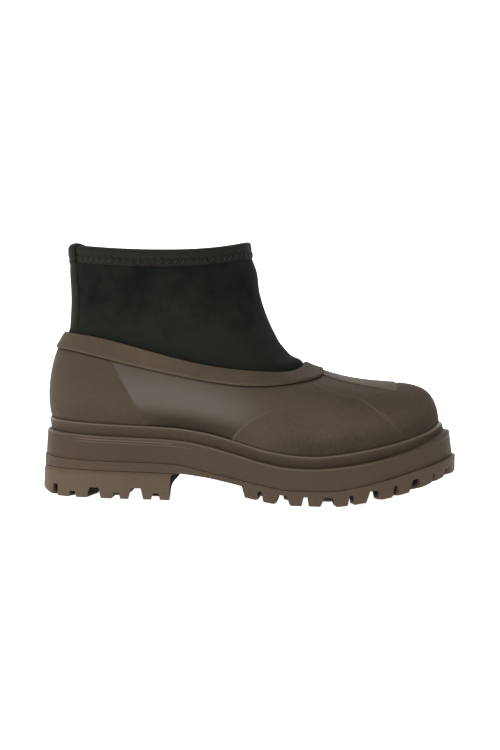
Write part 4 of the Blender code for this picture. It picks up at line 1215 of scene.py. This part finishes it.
class BOOT_OT_binding(BootPart):
    """Build the collar's folded binding and its zigzag stitching"""

    bl_idname = "boot.binding"
    bl_label = "Collar binding"
    STITCH_TOP = 7.1
    STITCH_LOW = 10.4
    SHOWN = 0.5
    THREAD_SIDES = 6
    STEPS_PER_STITCH = 16
    THREAD_LIFT = 1.55

    def build(self):
        turns = even_turns(self.columns)
        leg = rounded(BINDING_OUTSIDE, 2)
        outside = trim_rows(shaft_face, turns, leg)
        inside = trim_rows(shaft_face, turns, rounded(BINDING_INSIDE, 2))
        roll = collar_roll(turns, np.linspace(0, np.pi, 11), 0.0)
        points = np.concatenate([outside, roll, inside])
        below = np.zeros(len(points))
        below[: len(leg)] = leg[:, 0]
        samples, lengths, stitches = self.seam()
        place = np.mod(np.interp(turns, samples, lengths) / lengths[-1] * stitches, 1.0)
        marks = {"dark": self.darkness(below[:, None], place[None, :])}
        material = woven_tape("collar_twill", self.colours.binding)
        nodes = ("collar_binding",)
        add_piece("collar_binding_tape", points, material, nodes, closed_rows=True, marks=marks)
        self.stitch(samples, lengths, stitches)

    def seam(self):
        """Turns and lengths along the collar, and the number of stitches round it."""
        samples = np.linspace(0, 1, 2001)
        lengths = lengths_along(COLLAR_TABLE.at(samples)[:, :3])
        return samples, lengths, int(lengths[-1] / self.size["stitch_length"])

    def darkness(self, below, place):
        """Darker leg, painted shadow along the binding's lower edge, and a bell-shaped needle hole above
        each stitch.
        """
        leg = 0.1 * ease(below, 5.5, 8.0)
        # Painted shadow under the binding's lower edge.
        edge = 0.4 * ease(below, 11.4, 12.0)
        from_hole = np.mod(place - self.SHOWN + 0.5, 1.0) - 0.5
        hole = 0.65 * hump(from_hole, 0.13) * hump(below - self.STITCH_TOP, 0.9)
        return leg + edge + hole

    def stitch(self, samples, lengths, stitches):
        """The thread: a circle carried along a saw wave between two lines of the binding.

        It rises slantwise over the binding for a share of each stitch and goes back down behind its face.
        """
        count = stitches * self.STEPS_PER_STITCH
        turns = np.interp(np.arange(count) / count * lengths[-1], lengths, samples)
        place = np.mod(np.arange(count) / self.STEPS_PER_STITCH, 1.0)
        up = 1 - 2 * place / self.SHOWN
        down = 2 * (place - self.SHOWN) / (1 - self.SHOWN) - 1
        swing = np.where(place < self.SHOWN, up, down)
        middle, half = (self.STITCH_TOP + self.STITCH_LOW) / 2, (self.STITCH_LOW - self.STITCH_TOP) / 2
        below = middle + half * swing
        samples_below = np.linspace(self.STITCH_TOP - 0.5, self.STITCH_LOW + 0.5, 15)
        table = climbs_below_top(shaft_face, turns, samples_below)
        share = (below - samples_below[0]) / (samples_below[1] - samples_below[0])
        low = np.clip(share.astype(int), 0, len(samples_below) - 2)
        column = np.arange(count)
        climbs = table[low, column] + (share - low) * (table[low + 1, column] - table[low, column])
        lift = self.THREAD_LIFT - 0.5 * np.abs(swing) ** 4 - 0.6 * (place > self.SHOWN)
        path = offset_face(shaft_face, turns, climbs[None], lift[None, :, None])[0]
        normal = path - offset_face(shaft_face, turns, climbs[None], lift[None, :, None] - 1.0)[0]
        tangent = np.roll(path, -1, axis=0) - np.roll(path, 1, axis=0)
        side = np.cross(tangent, normal)
        side /= np.linalg.norm(side, axis=1)[:, None]
        angles = np.linspace(0, 2 * np.pi, self.THREAD_SIDES, endpoint=False)[:, None, None]
        points = path + self.size["thread_radius"] * (np.cos(angles) * side + np.sin(angles) * normal)
        add_piece("collar_stitching", points, twisted_thread(self.colours.thread), closed_rows=True)


class BOOT_OT_heel_tape(BootPart):
    """Build the tape over the back seam, from the band up and over the collar"""

    bl_idname = "boot.heel_tape"
    bl_label = "Back seam tape"
    HALF_WIDTH = 0.105
    ACROSS = 40
    START = 60.0
    OVER_BINDING = 1.35
    OVER_ROLL = 0.4
    OVER_ANGLE = np.radians(150)

    @staticmethod
    def swell(below):
        """How far the shaft's back swells under the tape: a bell below the binding."""
        return 1.3 * hump(below - 18.0, 13.0) * ease(below, 7.0, 14.0)

    def build(self):
        """A flat rounded section carried up the back of the shaft and over the collar's roll.

        The section's face is a flat curve that drops at its edges by the tenth power of the place across.
        """
        place = np.linspace(-1, 1, self.ACROSS)
        turns = np.append(place, place[::-1]) * self.HALF_WIDTH * HALF_TURN
        crown = 1 - np.abs(place) ** 10
        face = np.append(crown, np.full(self.ACROSS, -0.35)) * self.size["tape_thickness"]
        below = np.linspace(self.START, ROLL_BELOW, 90)
        step = self.OVER_BINDING * ease(below, 14.5, 11.0) + 1.05 * ease(below, 10.5, 7.0) + self.swell(below)
        ends = ease(below, self.START, self.START - 1.0)
        climbs = climbs_below_top(shaft_face, turns, below)
        wall = offset_face(shaft_face, turns, climbs, (step[:, None] + face * ends[:, None])[..., None])
        angles = np.linspace(0, self.OVER_ANGLE, 24)[1:]
        over = self.OVER_ROLL + face[None, :, None]
        over = collar_roll(turns, angles, over * ease(angles, angles[-1], angles[-3])[:, None, None])
        points = np.concatenate([wall, over])
        # Painted shadow along both edges of the tape.
        dark = 0.45 * ease(np.abs(np.append(place, place[::-1])), 0.93, 0.99)
        marks = {"dark": np.broadcast_to(dark, points.shape[:2])}
        material = woven_tape("seam_tape", shade(self.colours.binding, 0.76))
        add_piece("back_seam_tape", points, material, ("heel_tape",), marks=marks)


class BOOT_OT_sole(BootPart):
    """Build the lip, the midsole and the footbed"""

    bl_idname = "boot.sole"
    bl_label = "Lip, midsole and footbed"
    RIB_ROWS = 32
    RIB_ZONE = (6.8, 1.5)
    EDGE_FADE = (262.0, 205.0)
    LIP_TOE = 3.4
    LIP_BELOW = 0.4
    TOE = (232.0, 266.0)
    WAIST = (80.0, 150.0)
    FOOTBED_ROOM = 0.6
    SPINE = (45.0, 232.0)

    def build(self):
        turns = even_turns(self.columns)
        spread, lines = sole_lines(turns)
        self.lip(turns, lines)
        self.midsole(turns, spread, lines)
        self.footbed(turns, lines)

    def lip(self, turns, lines):
        section = rounded(LIP_SECTION, 3)
        toe = ease(lines.along, *self.TOE)
        top = lines.feather - self.LIP_BELOW
        points = layer_rows(turns, section, lines.ledge, top, self.LIP_TOE * toe, 0.0)
        # Painted highlight along the lip's top bead.
        bead = 1.2 * hump(section[:, 2] + 0.4, 0.6) * (section[:, 1] > 0.9) * (section[:, 0] > 0.8)
        edge = np.repeat(bead[:, None], len(turns), axis=1)
        # Painted shade on the lower half of the lip's face, stronger from the waist forwards.
        share = (points[..., 2] - lines.ledge) / (lines.feather - lines.ledge)
        inner = (1.05 + 0.45 * ease(lines.along, *self.WAIST)) * ease(share, 0.95, 0.5)
        marks = {"edge": edge, "inner": inner}
        material = sole_rubber("lip_rubber", self.colours.sole)
        add_piece("welt_lip", points, material, ("welt",), closed_rows=True, marks=marks)

    def midsole(self, turns, spread, lines):
        """The wall from its section, with fine ribs below the ledge, each a bell that fades at its ends."""
        section = self.fine_section(MIDSOLE_SECTION)
        points = layer_rows(turns, section, lines.tread, lines.ledge, spread.wall, spread.ledge)
        depth = lines.ledge - points[..., 2]
        along = points[..., 0]
        relief = np.zeros(depth.shape)
        # Painted highlights: a thin line just under the ledge, fading towards the toe, and one on each fine
        # rib.
        edge = 0.7 * hump(depth - 0.8, 0.7) * ease(along, *self.EDGE_FADE)
        for rib in MIDSOLE_RIBS:
            ridge = hump(depth - rib.depth, rib.spread) * ease(along, *rib.comes) * ease(along, *rib.goes)
            relief += self.size["midsole_rib"] * rib.rise * ridge
            edge += rib.pale * ridge
        points = points + grid_normals(points) * relief[..., None]
        low, high = (close_inwards(ring, *self.SPINE, [1.0]) for ring in (points[0], points[-1]))
        points = np.concatenate([low, points, high])
        marks = {"edge": np.concatenate([edge[:1], edge, edge[-1:]])}
        material = sole_rubber("midsole_rubber", self.colours.sole)
        add_piece("midsole_wall", points, material, ("midsole",), marks=marks)

    def fine_section(self, section):
        """A section with close rows under the ledge, at even depths, for the ribs to stand on."""
        low = rounded(section[:4], 3)
        wall = np.array([Ring(0.0, share, -self.RIB_ZONE[0] * share) for share in np.linspace(0.1, 0.9, 7)])
        depth = np.linspace(*self.RIB_ZONE, self.RIB_ROWS)
        ribs = np.stack([np.zeros(len(depth)), np.ones(len(depth)), -depth], axis=1)
        return np.concatenate([low, wall, ribs, rounded(section[4:], 3)[1:]])

    def footbed(self, turns, lines):
        """A thin pad inside the shell, dished a little at the heel and along its middle."""
        inset = -self.size["shell_wall"] - self.FOOTBED_ROOM
        rise = self.size["footbed_thickness"]
        section = rounded(FOOTBED_SECTION, 3)
        edge = layer_rows(turns, section, lines.ledge, lines.ledge + rise, inset, inset)
        shares = np.linspace(0, 1, 22)[1:]
        top = close_inwards(edge[-1], *self.SPINE, shares)
        along = along_inwards(lines.along, *self.SPINE, shares)
        top[..., 2] = level("ledge", along) + rise - 1.4 * ease(shares, 0.0, 0.8)[:, None]
        points = np.concatenate([close_inwards(edge[0], *self.SPINE, [1.0]), edge, top])
        add_piece("footbed", points, felt_footbed(self.colours.footbed), ("insole",))


def tread_shade(depth, recess):
    """Painted shade of the tread: how far in a place is, its distance from the edge, up to a few millimetres.

    It counts fully in the roots of the tread and little on the faces that meet the ground.
    """
    return np.minimum(depth, 6.0) * (0.15 + 0.85 * np.clip(recess, 0, 1))


class BOOT_OT_outsole(BootPart):
    """Build the outsole's band with the forefoot's lugs"""

    bl_idname = "boot.outsole"
    bl_label = "Outsole"
    COLUMNS = 1250
    WALL_ROWS = 12
    FLOOR_ROWS = 52
    SQUARE = 0.55
    SPINE = (60.0, 236.0)
    TOP_EDGE = np.array([(-2.6, 0.0), (-0.4, -0.02), (-0.1, -0.12), (0.0, -0.4)])
    TOP_EDGE_ROW = -4
    LOW_ROUNDING = 0.35
    FIRST_SHARE = 0.006

    def build(self):
        """The band's wall, then the tread as heights over the plan, from the edge in to a spine.

        The tread's columns are quadratic curves in plan that start square to the edge.
        """
        turns = even_turns(self.COLUMNS)
        spread, lines = sole_lines(turns)
        self.set_lengths(turns, spread.band)
        upper = sole_ring(turns, spread.band + self.TOP_EDGE[:, :1], lines.tread + self.TOP_EDGE[:, 1:])
        low_edge = self.tread(upper[-1], lines.along, np.zeros(len(turns)))
        share = np.linspace(0, 1, self.WALL_ROWS)[1:, None]
        drop = low_edge + self.LOW_ROUNDING - upper[-1, :, 2]
        wall = sole_ring(turns, spread.band, upper[-1, :, 2] + drop * share)
        inwards = np.append(self.FIRST_SHARE, np.linspace(0, 1, self.FLOOR_ROWS + 1)[1:])
        floor = close_inwards(wall[-1], *self.SPINE, inwards)
        reach = self.SQUARE * np.linalg.norm((floor[-1] - wall[-1])[:, :2], axis=1)
        square = wall[-1] - WALL_TABLE.outward(turns, 0) * reach[:, None]
        floor += (2 * inwards * (1 - inwards))[:, None, None] * (square - (wall[-1] + floor[-1]) / 2)
        depth = np.linalg.norm((floor - wall[-1])[..., :2], axis=-1)
        along = along_inwards(lines.along, *self.SPINE, inwards)
        floor[..., 2] = self.tread(floor, along, depth)
        roof = close_inwards(upper[0], *self.SPINE, [1.0])
        points = np.concatenate([roof, upper, wall, floor])[::-1]
        rows = len(points)
        edge = np.zeros((rows, len(turns)))
        # Painted highlight along the outsole band's rounded top edge.
        edge[self.TOP_EDGE_ROW] = 0.6
        # Painted shade in the tread: deepest in its roots, faint on the faces that meet the ground.
        base, low = level("base", along), smooth_through(TOE_ROCKER, floor[..., 0])
        recess = (floor[..., 2] - low) / np.maximum(base - low, 0.5) * ease(along, 118.0, 132.0)
        inner = np.zeros((rows, len(turns)))
        inner[: len(depth)] = tread_shade(depth, recess)[::-1]
        marks = {"edge": edge, "inner": inner}
        material = sole_rubber("outsole_rubber", shade(self.colours.sole, 1.1))
        add_piece("outsole_tread", points, material, ("outsole",), marks=marks)

    def set_lengths(self, turns, spread):
        """Lengths along the outsole's edge from where the forefoot's lugs start on the outer side."""
        edge = sole_ring(turns, spread, 0.0)
        steps = np.linalg.norm(np.roll(edge, -1, axis=0) - edge, axis=1)
        lengths = np.append(0.0, np.cumsum(steps)[:-1])
        start = np.argmax(edge[:, 0] > LUG_FROM)
        self.lengths = lengths - lengths[start]

    def tread(self, points, along, depth):
        """Height of the tread: the layer's underside, or down to the rocker where a lug or a block stands.

        A pair of lugs is a trapezium along the edge, repeated at the pitch, and a slit takes its middle away.
        """
        base = level("base", along)
        low = np.minimum(smooth_through(TOE_ROCKER, points[..., 0]), base)
        place = np.mod(self.lengths, LUG_PITCH)
        place = np.where(place > (LUG_PITCH + LUG_LENGTH) / 2, place - LUG_PITCH, place)
        inside = np.minimum(place, LUG_LENGTH - place)
        pair = np.clip(1 + inside / LUG_TAPER, 0, 1)
        from_slit = np.abs(place - LUG_LENGTH / 2)
        slit = np.clip((SLIT_AT_FLOOR - from_slit) / (SLIT_AT_FLOOR - SLIT_AT_ROOT), 0, 1)
        share = np.minimum(pair, 1 - SLIT_SHARE * slit)
        last = LUG_PITCH * LUG_PAIRS - (LUG_PITCH - LUG_LENGTH) / 2
        ends = (self.lengths > -LUG_TAPER) & (self.lengths < last)
        share = share * ends * np.clip((LUG_DEPTH - depth) / LUG_TAPER, 0, 1)
        for block in BLOCKS:
            aside = np.abs(points[..., 0] - block.along) / (block.length / 2)
            across = np.abs(points[..., 1] - block.across) / (block.width / 2)
            out = np.maximum(np.maximum(aside, across), (aside + across) / BLOCK_CORNER)
            share = np.maximum(share, np.clip((1 - out) * block.length / 2 / BLOCK_TAPER, 0, 1))
        return base - share * (base - low)


class BOOT_OT_heel(BootPart):
    """Build the heel block with its channels and slits"""

    bl_idname = "boot.heel"
    bl_label = "Heel block"
    COLUMNS = 760
    WALL_ROWS = 26
    FLOOR_ROWS = 58
    SHALLOW = 2.0
    SPINE = (34.0, 68.0)
    TOP_EDGE = np.array([(-3.0, 0.0), (-0.4, 0.0), (-0.1, -0.1), (0.0, -0.35)])
    LOW_ROUNDING = 0.35
    FIRST_SHARE = 0.008
    SLIT_DRAFT = 0.5

    def build(self):
        """The wall between two outlines, then the tread as heights over the plan, in to a spine."""
        (plan_top, foot_along), (plan_low, _) = self.outline(-HEEL_FLARE), self.outline(HEEL_FLARE)
        breast = ease(plan_top[:, 0], HEEL_BREAST - 0.6, HEEL_BREAST - 0.1)
        half_width = np.abs(plan_top[:, 1]).max()
        bow = BREAST_BOW * (1 - (plan_top[:, 1] / half_width) ** 2) * breast
        front = ease(plan_top[:, 0], HEEL_BREAST - 14.0, HEEL_BREAST)
        askew = BREAST_SKEW * (1 + plan_top[:, 1] / half_width) * front
        plan_top[:, 0] -= askew
        plan_low[:, 0] -= askew + BREAST_LEAN * front
        top = level("base", foot_along) + 0.1
        low_edge = self.tread(plan_low)
        rounding = self.TOP_EDGE
        middle = np.array([HEEL_BREAST / 2, 0.0])
        outward = plan_top - middle
        outward /= np.linalg.norm(outward, axis=1)[:, None]
        forwards = np.array([1.0, 0.0])
        upper = np.concatenate([
            plan_top + bow[:, None] * forwards + outward * rounding[:, :1, None],
            np.broadcast_to((top + rounding[:, 1:])[..., None], (*rounding.shape[:1], len(top), 1)),
        ], axis=2)
        share = np.linspace(0, 1, self.WALL_ROWS)[1:, None]
        swell = np.where(breast > 0.5, share, ease(share, 0.0, 0.16))
        wall_plan = plan_top + (plan_low - plan_top) * swell[..., None]
        wall_plan += (bow * ease(share, 0.56, 0.1))[..., None] * forwards
        wall_height = upper[-1, :, 2] + (low_edge + self.LOW_ROUNDING - upper[-1, :, 2]) * share
        wall = np.concatenate([wall_plan, wall_height[..., None]], axis=2)
        inwards = np.append(self.FIRST_SHARE, np.linspace(0, 1, self.FLOOR_ROWS + 1)[1:])
        floor = close_inwards(wall[-1], *self.SPINE, inwards)
        floor[..., 2] = self.tread(floor[..., :2])
        roof = close_inwards(upper[0], *self.SPINE, [1.0])
        points = np.concatenate([roof, upper, wall, floor])[::-1]
        # Painted shade in the grooves, in a line along the top seam under the outsole, and over the breast.
        depth = np.linalg.norm((floor - wall[-1])[..., :2], axis=-1)
        inside = tread_shade(depth, (floor[..., 2] - smooth_through(HEEL_ROCKER, floor[..., 0])) / 3.0)
        seam = np.full(upper.shape[:2], 3.0)
        inner = np.concatenate([seam[:1], seam, np.broadcast_to(12 * breast, wall.shape[:2]), inside])[::-1]
        # The heel's rubber is painted paler than the sole's other parts, standing in for stronger light
        # there.
        material = sole_rubber("heel_rubber", shade(self.colours.sole, 1.46))
        add_piece("heel_block", points, material, ("heel",), marks={"inner": inner})

    def outline(self, spread):
        """Even points round the heel: along the sole's edge behind the breast, then straight across it.

        With them come the places along the foot of the shell that they belong to.
        """
        turns = np.linspace(0, 1, 4001)
        edge = sole_ring(turns, SPREAD_TABLE.at(turns)[:, 2] + spread, 0.0)
        edge[:, 2] = WALL_TABLE.at(turns)[:, 0]
        edge = edge[edge[:, 0] < HEEL_BREAST]
        edge = np.concatenate([edge, edge[:1]])
        lengths = lengths_along(edge[:, :2])
        at = np.arange(self.COLUMNS) / self.COLUMNS * lengths[-1]
        points = np.stack([np.interp(at, lengths, edge[:, k]) for k in range(3)], axis=1)
        return points[:, :2], points[:, 2]

    def tread(self, plan):
        """Height of the heel's tread: the rocker, raised by each groove, whose section is a trapezium.

        The channels are a little shallower on the inner side.
        """
        along, across = plan[..., 0], plan[..., 1]
        turns = np.linspace(0.0, 0.32, 400)
        edge = sole_ring(turns, SPREAD_TABLE.at(turns)[:, 2], 0.0)
        half_width = np.interp(along, edge[:, 0], -edge[:, 1])
        height = smooth_through(HEEL_ROCKER, along)
        for groove in HEEL_GROOVES:
            draft = GROOVE_DRAFT * groove.height
            middle = groove.along + groove.slant * np.maximum(half_width - np.abs(across), 0)
            inside = np.clip((groove.width / 2 + draft - np.abs(along - middle)) / draft, 0, 1)
            reach = np.clip(np.abs(across) - (half_width - groove.depth), 0, 1)
            shallow = self.SHALLOW * ease(across, 5.0, 25.0) * (groove.depth == ACROSS_ALL)
            height = np.maximum(height, (groove.height - shallow) * inside * reach)
        towards = np.array([np.cos(BACK_SLIT_TURN), -np.sin(BACK_SLIT_TURN)])
        ahead = (along - BACK_SLIT.along) * towards[0] + (np.abs(across) - BACK_SLIT_ACROSS) * towards[1]
        aside = (np.abs(across) - BACK_SLIT_ACROSS) * towards[0] - (along - BACK_SLIT.along) * towards[1]
        inside = np.clip((BACK_SLIT.width / 2 + self.SLIT_DRAFT - np.abs(aside)) / self.SLIT_DRAFT, 0, 1)
        reach = np.clip(BACK_SLIT.depth - ahead, 0, 1)
        return np.maximum(height, BACK_SLIT.height * inside * reach)


# The studio's soft lights, in metres and watts: those that aim at the boot, and the backdrop's own.
Lamp = namedtuple("Lamp", "name place size power")
LAMPS = (
    Lamp("front", (-0.3, -2.1, 0.25), (1.8, 0.6), 6.6),
    Lamp("front_high", (-0.3, -2.1, 0.8), (1.6, 0.8), 4.0),
    Lamp("left", (-1.5, -1.4, 0.9), (1.2, 1.0), 5.0),
    Lamp("left_side", (-2.0, 0.0, 0.8), (1.2, 1.2), 3.0),
    Lamp("left_high", (-1.1, -1.2, 1.7), (1.4, 1.0), 11.0),
    Lamp("right_high", (1.1, -1.2, 1.7), (1.4, 1.0), 4.0),
    Lamp("back", (0.0, 1.2, 1.6), (2.0, 1.0), 1.0),
)
BACKDROP_LAMP = Lamp("backdrop", (0.0, 0.9, 2.8), (3.0, 0.6), 40.0)


class BOOT_OT_studio(BootPart):
    """Set up the floor, the soft lights and the camera"""

    bl_idname = "boot.studio"
    bl_label = "Studio"
    CAMERA_PLACE = Vector((-0.0020, -1.450, 0.135))
    CAMERA_TILT = np.radians(1.94)
    CAMERA_ROLL = np.radians(1.7)
    CAMERA_LENS = 99.43
    AIM = Vector((0.0, 0.0, 0.08))
    BACKDROP = Vector((0.0, 2.7, 0.8))
    AIR = 0.12
    FRONT_EDGE, BEND_START, BEND, WALL_RISE = -3.5, 1.5, 1.2, 3.0
    HALF_PAPER = 4.0

    def build(self):
        self.floor()
        for lamp in LAMPS:
            self.light(lamp, self.AIM)
        self.light(BACKDROP_LAMP, self.BACKDROP)
        world = bpy.data.worlds.new("studio")
        world.use_nodes = True
        background = world.node_tree.nodes["Background"]
        background.inputs["Color"].default_value = (1.0, 1.0, 1.0, 1.0)
        background.inputs["Strength"].default_value = self.AIR
        bpy.context.scene.world = world
        bpy.context.scene.view_settings.view_transform = "Standard"
        self.camera()

    def floor(self):
        """Studio paper: flat, then a quarter round up into a wall behind the boot."""
        run = np.linspace(0, 1, 60)
        angle = np.linspace(0, np.pi / 2, 40)
        climb = np.linspace(0, 1, 20)
        back = self.BEND_START + self.BEND
        flat = np.stack([self.FRONT_EDGE + (self.BEND_START - self.FRONT_EDGE) * run, 0 * run], axis=1)
        bend = np.stack([np.sin(angle), 1 - np.cos(angle)], axis=1) * self.BEND
        curve = bend + np.array([self.BEND_START, 0.0])
        wall = np.stack([back + 0 * climb, self.BEND + self.WALL_RISE * climb], axis=1)
        profile = np.concatenate([flat, curve[1:], wall[1:]])
        across = np.linspace(-self.HALF_PAPER, self.HALF_PAPER, 9)
        points = np.stack(np.broadcast_arrays(across[None, :], profile[:, :1], profile[:, 1:]), axis=2)
        mesh = bpy.data.meshes.new("studio_floor")
        rows, columns = points.shape[:2]
        corner = (np.arange(rows - 1)[:, None] * columns + np.arange(columns - 1)).ravel()
        quads = np.stack([corner, corner + 1, corner + columns + 1, corner + columns], axis=1)
        mesh.from_pydata(points.reshape(-1, 3).tolist(), [], quads.tolist())
        mesh.update()
        mesh.shade_smooth()
        mesh.materials.append(paper_floor(self.colours.floor))
        floor = bpy.data.objects.new("studio_floor", mesh)
        bpy.context.scene.collection.objects.link(floor)

    def light(self, lamp, aim):
        area = bpy.data.lights.new(lamp.name, "AREA")
        area.shape = "RECTANGLE"
        area.size, area.size_y = lamp.size
        area.energy = lamp.power
        obj = bpy.data.objects.new(lamp.name, area)
        bpy.context.scene.collection.objects.link(obj)
        obj.location = lamp.place
        obj.rotation_euler = (aim - Vector(lamp.place)).to_track_quat("-Z", "Y").to_euler()

    def camera(self):
        camera = bpy.data.cameras.new("camera")
        camera.lens = self.CAMERA_LENS
        camera.sensor_width = 36.0
        obj = bpy.data.objects.new("camera", camera)
        bpy.context.scene.collection.objects.link(obj)
        tilt = Matrix.Rotation(np.pi / 2 - self.CAMERA_TILT, 4, "X")
        roll = Matrix.Rotation(self.CAMERA_ROLL, 4, "Z")
        obj.matrix_world = Matrix.Translation(self.CAMERA_PLACE) @ tilt @ roll
        bpy.context.scene.camera = obj


OPERATORS = (
    BOOT_OT_shell,
    BOOT_OT_band,
    BOOT_OT_shaft,
    BOOT_OT_binding,
    BOOT_OT_heel_tape,
    BOOT_OT_sole,
    BOOT_OT_outsole,
    BOOT_OT_heel,
    BOOT_OT_studio,
)


class BOOT_PT_panel(bpy.types.Panel):
    """Lists the boot's operators, sizes and colours"""

    bl_idname = "BOOT_PT_panel"
    bl_label = "Winter boot"
    bl_space_type = "VIEW_3D"
    bl_region_type = "UI"
    bl_category = "Winter boot"

    def draw(self, context):
        for operator in OPERATORS:
            self.layout.operator(operator.bl_idname)
        for group in (context.scene.boot_sizes, context.scene.boot_colours):
            for name in type(group).__annotations__:
                self.layout.prop(group, name)


CLASSES = (BootSizes, BootColours, *OPERATORS, BOOT_PT_panel)


def register():
    for cls in CLASSES:
        bpy.utils.register_class(cls)
    bpy.types.Scene.boot_sizes = PointerProperty(type=BootSizes)
    bpy.types.Scene.boot_colours = PointerProperty(type=BootColours)


def unregister():
    del bpy.types.Scene.boot_colours
    del bpy.types.Scene.boot_sizes
    for cls in reversed(CLASSES):
        bpy.utils.unregister_class(cls)


def main():
    register()
    bpy.ops.boot.shell()
    bpy.ops.boot.band()
    bpy.ops.boot.shaft()
    bpy.ops.boot.binding()
    bpy.ops.boot.heel_tape()
    bpy.ops.boot.sole()
    bpy.ops.boot.outsole()
    bpy.ops.boot.heel()
    bpy.ops.boot.studio()


if __name__ == "__main__":
    main()
